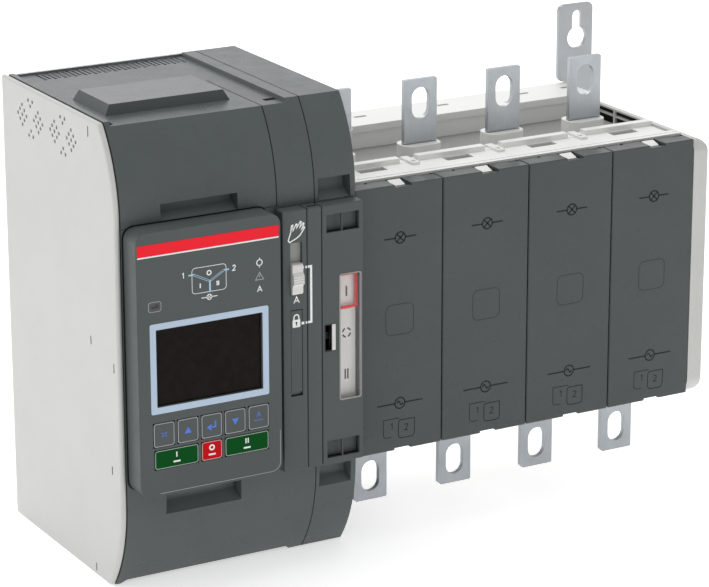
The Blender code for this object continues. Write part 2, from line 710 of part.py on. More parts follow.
def rear_switch_housing():
    """The rear unit is deep at the contacts and shallower above, behind the load bars."""
    body = unit_housing("rear_switch_housing", REAR_UNIT_Y, TRENCH_FLOOR, REAR_ROLL_Y,
                        SOURCE_ONE_Y, REAR_UNIT_Y[0])
    width = PITCH * POLES - GAP
    join(body, box("mounting_pad", (20, 155, 80), (240, BACK_PLANE, 220)))
    join(body, box("rear_upper", (GAP, REAR_WALL_Y, TRENCH_FLOOR - 4), (width, REAR_UNIT_Y[1], 241.8)))
    join(body, box("rear_top", (GAP, *REAR_LIP), (width, REAR_UNIT_Y[1], REAR_TOP)))
    for index in range(POLES):
        left = pole_left(index)
        cut(body, box("vent_chamber", (left + 3.0, REAR_WALL_Y + 2.5, TRENCH_FLOOR - 8),
                      (left + PITCH - 3.0, 156.2, 239.0)))
        cut(body, box("top_slot", (left + 16.0, 142.6, 235), (left + 25.3, 146.0, 250)))
        cut(body, box("lip_notch", (left - 3.2, 110, 241.4), (left + 3.2, 130.5, 250)))
    cut(body, box("foot_notch", (247.6, 142.8, 240.5), (254.0, 146.4, 250)))
    return body


def load_terminal_block():
    body = box("load_terminal_block", (GAP, 60.3, 164.0), (PITCH * POLES - GAP, 104.7, TRENCH_FLOOR),
               "grey_plastic")
    for index in range(POLES):
        bar_x = pole_left(index) + BAR_OFFSET
        half = BAR_WIDTH / 2 + 0.4
        collar = [rounded(bar_x - 14.4, 75.4, bar_x + 14.4, 94.4, 7.0)]
        join(body, slab("collar", collar, "Z", TRENCH_FLOOR - 6.0, COLLAR_TOP))
        cut(body, box("load_bar_slot", (bar_x - half, LOAD_Y - 0.4, STRAP_Z),
                      (bar_x + half, LOAD_Y + BAR_THICK + 0.4, 250)))
        cut(body, box("load_strap_slot", (bar_x - half, 50, STRAP_Z - 0.4),
                      (bar_x + half, 115, STRAP_Z + BAR_THICK + 0.4)))
    return body


def bar_outline(centre_x, low, high, slot_low, low_left):
    """Front view of a bar. Its corners are barely broken, except the lower left one."""
    half = BAR_WIDTH / 2
    edge = 0.7
    outer = [(centre_x - half + low_left, low), (centre_x + half - edge, low),
             (centre_x + half, low + edge), (centre_x + half, high - edge),
             (centre_x + half - edge, high), (centre_x - half + edge, high),
             (centre_x - half, high - edge), (centre_x - half, low + low_left)]
    return [outer, obround(centre_x, slot_low, slot_low + BAR_SLOT[1], BAR_SLOT[0])]


def thin_below_pad(bar, centre_x, low_y, high_y, low_z, high_z):
    """The bar is a little thinner inside the moulding, so its terminal pad is a face of its own."""
    half = BAR_WIDTH / 2 + 1.0
    cut(bar, box("thin_part", (centre_x - half, low_y, low_z), (centre_x + half, high_y, high_z)))


def load_bars():
    """Each load bar comes up through its collar and has a strap to both units at its foot."""
    half = BAR_WIDTH / 2
    for index in range(POLES):
        centre_x = pole_left(index) + BAR_OFFSET
        outline = bar_outline(centre_x, STRAP_Z, LOAD_TOP, 254.6, 0.7)
        bar = slab("load_bar_%d" % (index + 1), outline, "Y", LOAD_Y, LOAD_Y + BAR_THICK,
                   "tinned_copper")
        join(bar, box("load_strap", (centre_x - half, 30.0, STRAP_Z),
                      (centre_x + half, 137.5, STRAP_Z + BAR_THICK)))
        thin_below_pad(bar, centre_x, LOAD_Y - 1.0, LOAD_Y + PAD_STEP,
                       STRAP_Z + BAR_THICK, COLLAR_TOP + 0.6)


def source_bars():
    tip = AXIS_Z - CONTACT_REACH - 0.5
    for name, front in (("source_two_bar", SOURCE_TWO_Y), ("source_one_bar", SOURCE_ONE_Y)):
        for index in range(POLES):
            centre_x = pole_left(index) + BAR_OFFSET
            outline = bar_outline(centre_x, SOURCE_BOTTOM, tip, SOURCE_BOTTOM + 6.0, 2.0)
            bar = slab("%s_%d" % (name, index + 1), outline, "Y", front, front + BAR_THICK,
                       "tinned_copper")
            low_y, high_y = front - 1.0, front + PAD_STEP
            if name == "source_one_bar":
                low_y, high_y = front + BAR_THICK - PAD_STEP, front + BAR_THICK + 1.0
            thin_below_pad(bar, centre_x, low_y, high_y, BLOCK_Z[0] - 0.8, tip + 1.0)


def contact_roll(name, roll_y, upright):
    """Insulated roll with a moulded-in contact blade for each pole and a bevel gear."""
    roll = cylinder(name, (127.0, roll_y, AXIS_Z), 9.8, 256.0, "X", "black_plastic", sides=24)
    set_origin(roll, 0.0, roll_y, AXIS_Z)
    join(roll, cylinder(name + "_neck", (-6.0, roll_y, AXIS_Z), 6.0, 16.0, "X", sides=20))
    join(roll, cylinder(name + "_bevel", (SHAFT_X + 10.0, roll_y, AXIS_Z), 5.4, 8.0, "X",
                        top_radius=13.4))
    long_half = CONTACT_REACH
    thin_half = 2.5
    for index in range(POLES):
        centre_x = pole_left(index) + BAR_OFFSET
        if upright:
            low = (centre_x - 12, roll_y - thin_half, AXIS_Z - long_half)
            high = (centre_x + 12, roll_y + thin_half, AXIS_Z + long_half)
        else:
            low = (centre_x - 12, roll_y - long_half, AXIS_Z - thin_half)
            high = (centre_x + 12, roll_y + long_half, AXIS_Z + thin_half)
        join(roll, box(name + "_blade", low, high))
    return roll


def pole_covers():
    """Each cover clips over a catch of the front unit, above and below."""
    for index in range(POLES):
        first = pole_left(index)
        left = first + 0.4
        right = first + PITCH - 0.4
        cover = box("pole_cover_%d" % (index + 1), (left, 0.0, 59.5), (right, COVER_LIP, 238.0),
                    "dark_plastic")
        bevel(cover, 0.6, 1)
        cut(cover, box("cover_hollow", (left + 2.0, 2.5, 61.5), (right - 2.0, 20, 236.0)))
        cut(cover, box("side_room", (first - REACH, 9.4, 61.3), (right + REACH, 20, 236.2)))
        for side, low, high, front_low, front_high in (("upper", 230, 245, 236.4, 245),
                                                       ("lower", 52, 67, 52, 61.1)):
            cut(cover, box(side + "_notch", (first + 29.4, 2.4, low), (first + 41.8, 13.6, high)))
            cut(cover, box(side + "_mouth", (first + 29.4, -REACH, front_low),
                           (first + 41.8, 3.0, front_high)))
        cut(cover, box("side_notch", (first + 12.2, 12.6, 230), (first + 15.6, 20, 245)))
        cut(cover, box("corner_ledge", (first + 55.0, 11.0, 237.3), (right - 0.9, 20, 245)))


def end_plate():
    """Closes the last pole. Its inner face is ribbed, and its outer edges are rounded."""
    front_top = arc(9.0, 228.5, 9.0, 90, 180, 6)
    front_bottom = arc(13.0, 70.0, 13.0, 180, 270, 8)
    outline = [(158.4, 57.0), (158.4, 237.5)] + front_top + front_bottom
    plate = slab("end_plate", [outline], "X", PITCH * POLES, 271.0, "grey_plastic")
    outer_edge = ([(250, 57), (262.5, 57)] + arc(262.5, 65.5, 8.5, 270, 360, 6)
                  + arc(262.5, 229.0, 8.5, 0, 90, 6) + [(250, 237.5)])
    combine(plate, slab("end_limit", [outer_edge], "Y", -10, 170), "INTERSECT")
    pockets = [(y0, y1, z0, z1) for y0, y1 in ((12.0, 56.0), (59.0, 94.4), (97.0, 122.0),
                                               (125.0, 154.0))
               for z0, z1 in ((70.0, 146.0), (148.0, 231.9))]
    pockets += [(59.0, 94.4, 233.3, 236.3), (97.0, 122.0, 233.3, 236.3)]
    for y0, y1, z0, z1 in pockets:
        cut(plate, box("end_pocket", (255, y0, z0), (267.5, y1, z1)))
    return plate


def mounting_rail():
    """Steel strip behind the last pole, with a wider keyhole foot at each end."""
    outline = (arc(278.7, 5.0, 4.0, -90, 0, 4) + arc(278.7, 295.0, 4.0, 0, 90, 4)
               + arc(258.6, 295.0, 4.0, 90, 180, 4) + arc(258.6, 248.0, 4.0, 180, 270, 4)
               + [(260.6, 244.0), (260.6, 56.0)] + arc(258.6, 52.0, 4.0, 90, 180, 4)
               + arc(258.6, 5.0, 4.0, 180, 270, 4))
    upper = keyhole(269.6, 267.0, 294.3, *KEYHOLE)
    lower = keyhole(269.6, 5.7, 33.0, *KEYHOLE)
    return slab("mounting_rail", [outline, upper, lower], "Y", HOUSING_BACK + GAP, BACK_PLANE,
                "steel")


left_side_panel()
main_housing()
lower_recess()
control_terminal_cover()
right_housing()
back_plate()
panel_housing()
panel_red_strip()
display_window()
display_module()
keypad_mat()
panel_circuit_board()
panel_keys()
selector_module()
mode_selector()
lock_clip()
filler_strip()
indicator_module()
indicator_window()
indicator_scale()
position_marker()
operating_shaft()
idler_gear()
motor_pinion()
drive_motor()
drive_frame()
control_board()
power_supply_board()
control_terminal_strip()
front_switch_housing()
rear_switch_housing()
load_terminal_block()
load_bars()
source_bars()
contact_roll("front_contact_roll", FRONT_ROLL_Y, False)
contact_roll("rear_contact_roll", REAR_ROLL_Y, True)
pole_covers()
end_plate()
mounting_rail()
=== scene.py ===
"""Looks of a four-pole automatic transfer switch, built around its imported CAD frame.

Sizes are in millimetres, in the drawing's own frame: X runs right along the poles from the
left edge of the first pole cover, Y runs back from the front of the pole covers, and Z runs
up from the bottom of the mechanism housing. place() turns a drawing point into the frame.
"""
import json
import math

import bmesh
import bpy
from mathutils import Matrix, Vector

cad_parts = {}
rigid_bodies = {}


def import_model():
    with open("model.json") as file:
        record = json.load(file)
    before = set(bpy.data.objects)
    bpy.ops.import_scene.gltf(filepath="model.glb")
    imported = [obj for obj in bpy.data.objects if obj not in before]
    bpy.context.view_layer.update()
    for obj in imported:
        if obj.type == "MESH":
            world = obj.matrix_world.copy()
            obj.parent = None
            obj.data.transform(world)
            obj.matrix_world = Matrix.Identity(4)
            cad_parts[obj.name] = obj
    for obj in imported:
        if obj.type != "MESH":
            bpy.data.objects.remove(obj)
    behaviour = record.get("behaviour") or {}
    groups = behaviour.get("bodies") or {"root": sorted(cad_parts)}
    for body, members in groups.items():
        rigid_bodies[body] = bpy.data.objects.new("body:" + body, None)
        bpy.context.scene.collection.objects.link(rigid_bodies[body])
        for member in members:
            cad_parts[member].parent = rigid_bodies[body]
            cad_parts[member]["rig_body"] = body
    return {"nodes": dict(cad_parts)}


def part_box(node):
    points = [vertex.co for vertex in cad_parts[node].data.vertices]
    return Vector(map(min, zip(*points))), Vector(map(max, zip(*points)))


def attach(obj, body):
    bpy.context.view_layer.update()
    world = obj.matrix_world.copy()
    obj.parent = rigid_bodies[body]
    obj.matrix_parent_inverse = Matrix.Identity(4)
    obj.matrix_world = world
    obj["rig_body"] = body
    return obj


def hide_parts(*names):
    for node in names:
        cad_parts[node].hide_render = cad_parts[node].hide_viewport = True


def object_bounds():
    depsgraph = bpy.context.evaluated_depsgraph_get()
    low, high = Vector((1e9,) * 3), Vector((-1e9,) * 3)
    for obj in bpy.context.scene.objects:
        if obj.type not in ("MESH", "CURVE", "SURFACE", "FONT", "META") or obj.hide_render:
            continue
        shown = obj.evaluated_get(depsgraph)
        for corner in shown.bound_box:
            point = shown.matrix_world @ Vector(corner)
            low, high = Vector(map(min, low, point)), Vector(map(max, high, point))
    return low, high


MM = 0.001
ORIGIN = (57.0, 162.0, 150.0)

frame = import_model()
CAD_BOX = [list(corner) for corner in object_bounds()]

PITCH = 65.0
POLES = 4
MERGE_DISTANCE = 0.000004
FLAT_ANGLE = math.radians(0.6)


def place(x, y, z):
    """A point of the drawing in the frame, in metres."""
    return Vector(((x - ORIGIN[0]) * MM, (y - ORIGIN[1]) * MM, (z - ORIGIN[2]) * MM))


def body_of(node):
    return frame["nodes"][node]["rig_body"]


def box_mm(node):
    """Lowest and highest corner of a CAD node, in the drawing's millimetres."""
    low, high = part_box(node)
    return ([low[i] / MM + ORIGIN[i] for i in range(3)],
            [high[i] / MM + ORIGIN[i] for i in range(3)])


# ---- mesh tools ----

def new_piece(name, mesh):
    item = bpy.data.objects.new(name, mesh)
    bpy.context.scene.collection.objects.link(item)
    return item


def from_work(name, work):
    mesh = bpy.data.meshes.new(name)
    work.to_mesh(mesh)
    work.free()
    return new_piece(name, mesh)


def join_flat_faces(work):
    """Make one face of the faces that lie in one plane."""
    bmesh.ops.dissolve_limit(work, angle_limit=FLAT_ANGLE, verts=work.verts, edges=work.edges)


def copy_of(node):
    """A new piece with a CAD node's shape, its flat faces made whole again."""
    work = bmesh.new()
    work.from_mesh(frame["nodes"][node].data)
    bmesh.ops.remove_doubles(work, verts=work.verts, dist=MERGE_DISTANCE)
    join_flat_faces(work)
    work.verts.index_update()
    points = [vertex.co.copy() for vertex in work.verts]
    faces = [[vertex.index for vertex in face.verts] for face in work.faces]
    work.free()
    mesh = bpy.data.meshes.new(node + "_shape")
    mesh.from_pydata(points, [], faces)
    return new_piece(node + "_shape", mesh)


def block(low, high):
    """A box between two corners of the drawing."""
    low_point = place(*low)
    high_point = place(*high)
    work = bmesh.new()
    matrix = Matrix.Translation((low_point + high_point) / 2)
    matrix = matrix @ Matrix.Diagonal((*(high_point - low_point), 1.0))
    bmesh.ops.create_cube(work, size=1.0, matrix=matrix)
    return from_work("tool", work)


TURNS = {
    "X": Matrix.Rotation(math.radians(90.0), 4, "Y"),
    "Y": Matrix.Rotation(math.radians(-90.0), 4, "X"),
    "Z": Matrix.Identity(4),
}


def add_rod(work, centre, radius, length, axis, sides=24, far_radius=None):
    far = radius if far_radius is None else far_radius
    bmesh.ops.create_cone(work, cap_ends=True, segments=sides, radius1=radius * MM,
                          radius2=far * MM, depth=length * MM,
                          matrix=Matrix.Translation(place(*centre)) @ TURNS[axis])


def rod(centre, radius, length, axis, sides=24, far_radius=None):
    work = bmesh.new()
    add_rod(work, centre, radius, length, axis, sides, far_radius)
    return from_work("tool", work)


PLANES = {
    "X": Matrix(((0, 0, 1), (1, 0, 0), (0, 1, 0))).to_4x4(),
    "Y": Matrix(((1, 0, 0), (0, 0, -1), (0, 1, 0))).to_4x4(),
    "Z": Matrix.Identity(4),
}


def slab(outlines, axis, start, end):
    """Outlines filled and extruded: (Y, Z) for axis X, (X, Z) for Y and (X, Y) for Z."""
    curve = bpy.data.curves.new("outline", "CURVE")
    curve.dimensions = "2D"
    curve.fill_mode = "BOTH"
    curve.extrude = (end - start) / 2 * MM
    for outline in outlines:
        spline = curve.splines.new("POLY")
        spline.points.add(len(outline) - 1)
        for point, (first, second) in zip(spline.points, outline):
            point.co = (first * MM, second * MM, 0.0, 1.0)
        spline.use_cyclic_u = True
    flat = new_piece("outline", curve)
    middle = (start + end) / 2
    corner = {"X": (middle, 0, 0), "Y": (0, middle, 0), "Z": (0, 0, middle)}[axis]
    flat.matrix_world = Matrix.Translation(place(*corner)) @ PLANES[axis]
    bpy.context.view_layer.update()
    graph = bpy.context.evaluated_depsgraph_get()
    mesh = bpy.data.meshes.new_from_object(flat.evaluated_get(graph))
    mesh.transform(flat.matrix_world)
    bpy.data.objects.remove(flat, do_unlink=True)
    bpy.data.curves.remove(curve)
    work = bmesh.new()
    work.from_mesh(mesh)
    bmesh.ops.remove_doubles(work, verts=work.verts, dist=MERGE_DISTANCE)
    bmesh.ops.recalc_face_normals(work, faces=work.faces)
    join_flat_faces(work)
    bpy.data.meshes.remove(mesh)
    return from_work("tool", work)


def arc(centre_u, centre_v, radius, start, end, steps):
    points = []
    for index in range(steps + 1):
        angle = math.radians(start + (end - start) * index / steps)
        points.append((centre_u + radius * math.cos(angle), centre_v + radius * math.sin(angle)))
    return points


def rounded(u0, v0, u1, v1, radius, steps=6):
    return (arc(u1 - radius, v0 + radius, radius, -90, 0, steps)
            + arc(u1 - radius, v1 - radius, radius, 0, 90, steps)
            + arc(u0 + radius, v1 - radius, radius, 90, 180, steps)
            + arc(u0 + radius, v0 + radius, radius, 180, 270, steps))


def framed(span_u, span_v, grow, radius):
    """A rounded outline that stands out from two spans by grow on every side."""
    return rounded(span_u[0] - grow, span_v[0] - grow, span_u[1] + grow, span_v[1] + grow, radius)


def settle(item):
    """Make a piece's modifiers part of its mesh."""
    bpy.context.view_layer.update()
    graph = bpy.context.evaluated_depsgraph_get()
    mesh = bpy.data.meshes.new_from_object(item.evaluated_get(graph))
    item.modifiers.clear()
    item.data = mesh
    return item


def boolean(item, tools, operation):
    for tool in tools:
        modifier = item.modifiers.new("tool", "BOOLEAN")
        modifier.operation = operation
        modifier.object = tool
        modifier.solver = "EXACT"
    settle(item)
    for tool in tools:
        bpy.data.objects.remove(tool, do_unlink=True)
    return item


def cut(item, *tools):
    return boolean(item, tools, "DIFFERENCE")


def weld(item, *tools):
    return boolean(item, tools, "UNION")


def soften(item, width, segments=2, angle=35.0):
    """Round a piece's sharp edges by a width in millimetres."""
    work = bmesh.new()
    work.from_mesh(item.data)
    join_flat_faces(work)
    work.to_mesh(item.data)
    work.free()
    modifier = item.modifiers.new("edges", "BEVEL")
    modifier.width = width * MM
    modifier.segments = segments
    modifier.limit_method = "ANGLE"
    modifier.angle_limit = math.radians(angle)
    modifier.use_clamp_overlap = True
    return settle(item)


def shade(item, angle=32.0):
    """Smooth across small angles, with normals weighted by area so that flat faces stay flat."""
    item.data.polygons.foreach_set("use_smooth", [True] * len(item.data.polygons))
    item.data.set_sharp_from_angle(angle=math.radians(angle))
    modifier = item.modifiers.new("normals", "WEIGHTED_NORMAL")
    modifier.keep_sharp = True
    modifier.weight = 90
    settle(item)


def finish_piece(item, name, look, nodes=(), angle=32.0, body="housing"):
    """Name a piece, give it its material, attach it to the body it rides on and hide the CAD
    nodes it replaces.
    """
    item.name = name
    item.data.name = name
    material, slot_name = LOOKS[look]
    item.data.materials.clear()
    item.data.materials.append(material)
    item.data.polygons.foreach_set("material_index", [0] * len(item.data.polygons))
    shade(item, angle)
    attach(item, body)
    if nodes:
        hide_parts(*nodes)


def skin(node, look, angle=32.0, edge=0.0, corner=35.0, body="housing"):
    """A piece with a CAD node's own shape, its edges rounded where edge is given."""
    item = copy_of(node)
    if edge:
        soften(item, edge, 2, corner)
    finish_piece(item, node + "_skin", look, [node], angle, body)


# ---- printed marks, painted shade for moulded marks, and painted highlights ----

def ribbon(work, points, width, front, depth, closed=False):
    """A flat stroke along (X, Z) points, standing on a front face."""
    count = len(points)
    lefts = []
    rights = []
    for index in range(count):
        here = Vector(points[index])
        before = Vector(points[index - 1]) if closed or index else None
        after = Vector(points[(index + 1) % count]) if closed or index < count - 1 else None
        into = (here - before).normalized() if before is not None else None
        out = (after - here).normalized() if after is not None else None
        along = into or out
        if into is not None and out is not None:
            along = (into + out).normalized() if (into + out).length > 0.1 else out
        across = Vector((-along.y, along.x))
        straight = out if out is not None else into
        lean = max(0.45, abs(across.dot(Vector((-straight.y, straight.x)))))
        lefts.append(here + across * width / 2 / lean)
        rights.append(here - across * width / 2 / lean)
    rows = []
    for left, right in zip(lefts, rights):
        rows.append([work.verts.new(place(p.x, y, p.y))
                     for p, y in ((left, front), (right, front), (right, front + depth),
                                  (left, front + depth))])
    spans = count if closed else count - 1
    for index in range(spans):
        a = rows[index]
        b = rows[(index + 1) % count]
        for side in range(4):
            work.faces.new((a[side], b[side], b[(side + 1) % 4], a[(side + 1) % 4]))
    if not closed:
        work.faces.new(rows[0])
        work.faces.new(list(reversed(rows[-1])))


def patch(work, outline, front, depth):
    """A filled flat shape standing on a front face."""
    near = [work.verts.new(place(x, front, z)) for x, z in outline]
    far = [work.verts.new(place(x, front + depth, z)) for x, z in outline]
    work.faces.new(near)
    work.faces.new(list(reversed(far)))
    for index in range(len(outline)):
        other = (index + 1) % len(outline)
        work.faces.new((near[index], far[index], far[other], near[other]))


def marks(name, look, front, strokes=(), fills=(), depth=0.12, body="housing"):
    """Printed marks, painted shade and painted highlights: strokes are (points, width, closed),
    fills are outlines.
    """
    work = bmesh.new()
    for points, width, closed in strokes:
        ribbon(work, points, width, front, depth, closed)
    for outline in fills:
        patch(work, outline, front, depth)
    bmesh.ops.recalc_face_normals(work, faces=work.faces)
    finish_piece(from_work(name, work), name, look, body=body)


def circle(u, v, radius, steps=24):
    return arc(u, v, radius, 0, 360 - 360 / steps, steps - 1)


GLYPHS = {
    "I": [[(0.5, 0.0), (0.5, 1.0)]],
    "II": [[(0.22, 0.0), (0.22, 1.0)], [(0.78, 0.0), (0.78, 1.0)]],
    "1": [[(0.15, 0.74), (0.55, 1.0), (0.55, 0.0)]],
    "2": [[(0.08, 0.76), (0.25, 0.96), (0.55, 1.0), (0.85, 0.88), (0.86, 0.62), (0.05, 0.0),
           (0.95, 0.0)]],
    "A": [[(0.0, 0.0), (0.5, 1.0), (1.0, 0.0)], [(0.2, 0.34), (0.8, 0.34)]],
    "cross": [[(0.0, 0.1), (1.0, 0.9)], [(0.0, 0.9), (1.0, 0.1)]],
}


def glyph(name, u, v, height, width, stroke):
    """Strokes of a glyph centred on (u, v)."""
    found = []
    for line in GLYPHS[name]:
        points = [(u + (x - 0.5) * width, v + (z - 0.5) * height) for x, z in line]
        found.append((points, stroke, False))
    return found


def load_symbol(u, v, size, stroke):
    """A consumer: a crossed circle between two leads."""
    reach = size * 0.7
    return [(circle(u, v, size), stroke, True),
            ([(u - reach, v - reach), (u + reach, v + reach)], stroke, False),
            ([(u - reach, v + reach), (u + reach, v - reach)], stroke, False),
            ([(u - size * 3.2, v), (u - size, v)], stroke, False),
            ([(u + size, v), (u + size * 3.2, v)], stroke, False)]


def source_symbol(u, v, size, stroke):
    """An alternating supply: a wave in a circle between two leads."""
    wave = [(u + size * 0.62 * (index / 4 - 1), v + size * 0.38 * math.sin(index * math.pi / 4))
            for index in range(9)]
    return [(circle(u, v, size), stroke, True), (wave, stroke, False),
            ([(u - size * 4.6, v), (u - size, v)], stroke, False),
            ([(u + size, v), (u + size * 4.6, v)], stroke, False)]


# ---- materials ----

class Shader:
    """A Principled material with helpers for its procedural detail."""

    def __init__(self, name, colour, roughness, metallic=0.0):
        self.material = bpy.data.materials.new(name)
        self.material.use_nodes = True
        self.tree = self.material.node_tree
        self.main = self.tree.nodes["Principled BSDF"]
        self.main.inputs["Base Color"].default_value = (*colour, 1.0)
        self.main.inputs["Roughness"].default_value = roughness
        self.main.inputs["Metallic"].default_value = metallic
        self.colour = colour
        self.roughness = roughness
        self.place = self.tree.nodes.new("ShaderNodeTexCoord").outputs["Object"]

    def link(self, source, target):
        self.tree.links.new(source, target)

    def stretched(self, scale):
        mapping = self.tree.nodes.new("ShaderNodeMapping")
        mapping.inputs["Scale"].default_value = scale
        self.link(self.place, mapping.inputs["Vector"])
        return mapping.outputs["Vector"]

    def noise(self, size, detail=3.0, stretch=None, rough=0.5):
        """Noise whose features are about size millimetres across."""
        node = self.tree.nodes.new("ShaderNodeTexNoise")
        node.inputs["Scale"].default_value = 1000.0 / size
        node.inputs["Detail"].default_value = detail
        node.inputs["Roughness"].default_value = rough
        self.link(self.stretched(stretch) if stretch else self.place, node.inputs["Vector"])
        return node.outputs["Fac"]

    def spread(self, source, low, high, start=0.3, end=0.7):
        node = self.tree.nodes.new("ShaderNodeMapRange")
        node.inputs["From Min"].default_value = start
        node.inputs["From Max"].default_value = end
        node.inputs["To Min"].default_value = low
        node.inputs["To Max"].default_value = high
        self.link(source, node.inputs["Value"])
        return node.outputs["Result"]

    def tint(self, noise, dark, light):
        """Colour that runs with noise between two multiples of the base colour."""
        node = self.tree.nodes.new("ShaderNodeMix")
        node.data_type = "RGBA"
        first = [min(1.0, value * dark) for value in self.colour]
        second = [min(1.0, value * light) for value in self.colour]
        node.inputs["A"].default_value = (*first, 1.0)
        node.inputs["B"].default_value = (*second, 1.0)
        self.link(self.spread(noise, 0.0, 1.0), node.inputs["Factor"])
        self.link(node.outputs["Result"], self.main.inputs["Base Color"])
        return node.outputs["Result"]

    def multiply(self, first, second):
        """Colour that is the product of two others."""
        node = self.tree.nodes.new("ShaderNodeMix")
        node.data_type = "RGBA"
        node.blend_type = "MULTIPLY"
        node.inputs["Factor"].default_value = 1.0
        self.link(first, node.inputs["A"])
        self.link(second, node.inputs["B"])
        self.link(node.outputs["Result"], self.main.inputs["Base Color"])

    def roughen(self, source, span):
        self.link(self.spread(source, self.roughness - span, self.roughness + span),
                  self.main.inputs["Roughness"])

    def bump(self, source, strength, height, below=None):
        node = self.tree.nodes.new("ShaderNodeBump")
        node.inputs["Strength"].default_value = strength
        node.inputs["Distance"].default_value = height * MM
        self.link(source, node.inputs["Height"])
        if below is not None:
            self.link(below, node.inputs["Normal"])
        self.link(node.outputs["Normal"], self.main.inputs["Normal"])
        return node.outputs["Normal"]


def moulded(name, colour, roughness, grain=0.9, depth=0.05, drift=0.05, specular=0.5):
    """Moulded plastic: spark-eroded grain, faint flow clouds and uneven sheen."""
    look = Shader(name, colour, roughness)
    look.main.inputs["Specular IOR Level"].default_value = specular
    cloud = look.noise(55.0, 4.0, rough=0.6)
    speck = look.noise(1.6, 2.0)
    wide = look.tint(cloud, 1.0 - drift, 1.0 + drift)
    tone = look.spread(speck, 1.0 - drift * 0.8, 1.0 + drift * 0.8, 0.0, 1.0)
    look.multiply(wide, tone)
    look.roughen(look.noise(14.0, 5.0), 0.06)
    fine = look.bump(look.noise(grain, 3.0), 0.35, depth)
    look.bump(look.noise(22.0, 2.0), 0.2, 0.04, below=fine)
    return look.material


def rolled_metal(name, colour, roughness, along, depth=0.02, drift=0.08):
    """Plated metal with a rolled grain that runs along one axis."""
    look = Shader(name, colour, roughness, 1.0)
    stretch = {"X": (0.04, 1.0, 1.0), "Y": (1.0, 0.04, 1.0), "Z": (1.0, 1.0, 0.04)}[along]
    streaks = look.noise(0.8, 5.0, stretch, 0.65)
    cloud = look.noise(17.0, 5.0, rough=0.6)
    wide = look.tint(cloud, 1.0 - drift, 1.0 + drift)
    look.multiply(wide, look.spread(streaks, 0.93, 1.07))
    look.roughen(streaks, 0.09)
    fine = look.bump(streaks, 0.5, depth)
    look.bump(look.noise(9.0, 3.0), 0.2, 0.05, below=fine)
    return look.material


def painted_mark(name, colour):
    look = Shader(name, colour, 0.45)
    look.tint(look.noise(0.7, 3.0), 0.93, 1.03)
    look.roughen(look.noise(2.5, 3.0), 0.05)
    look.bump(look.noise(0.5, 2.0), 0.25, 0.02)
    return look.material


def display_glass():
    """Nearly black display behind a hard-coated window, with a faint pixel structure."""
    look = Shader("display_glass", (0.0052, 0.0032, 0.0026), 0.22)
    look.main.inputs["Specular IOR Level"].default_value = 0.08
    look.tint(look.noise(6.0, 5.0, rough=0.7), 0.6, 1.9)
    look.roughen(look.noise(30.0, 3.0), 0.04)
    look.bump(look.noise(0.6, 1.0), 0.08, 0.01)
    return look.material


def clear_plastic():
    look = Shader("clear_window", (0.86, 0.87, 0.87), 0.12)
    look.main.inputs["Alpha"].default_value = 0.05
    look.main.inputs["IOR"].default_value = 1.5
    look.tint(look.noise(9.0, 3.0), 0.92, 1.04)
    look.roughen(look.noise(5.0, 3.0), 0.04)
    look.bump(look.noise(7.0, 2.0), 0.15, 0.03)
    return look.material


def solder_resist():
    """Circuit board: green resist over faint copper tracks."""
    look = Shader("circuit_board", (0.018, 0.11, 0.045), 0.38)
    brick = look.tree.nodes.new("ShaderNodeTexBrick")
    brick.inputs["Scale"].default_value = 160.0
    brick.inputs["Mortar Size"].default_value = 0.03
    brick.inputs["Color1"].default_value = (0.018, 0.11, 0.045, 1.0)
    brick.inputs["Color2"].default_value = (0.022, 0.14, 0.058, 1.0)
    brick.inputs["Mortar"].default_value = (0.05, 0.22, 0.09, 1.0)
    look.link(look.place, brick.inputs["Vector"])
    look.link(brick.outputs["Color"], look.main.inputs["Base Color"])
    look.roughen(look.noise(3.0, 3.0), 0.08)
    look.bump(brick.outputs["Fac"], 0.4, 0.04)
    return look.material


def soft_rubber():
    look = Shader("rubber_mat", (0.12, 0.12, 0.13), 0.75)
    look.main.inputs["Sheen Weight"].default_value = 0.2
    look.tint(look.noise(4.0, 4.0), 0.85, 1.15)
    look.roughen(look.noise(6.0, 3.0), 0.06)
    look.bump(look.noise(0.7, 3.0), 0.4, 0.05)
    return look.material


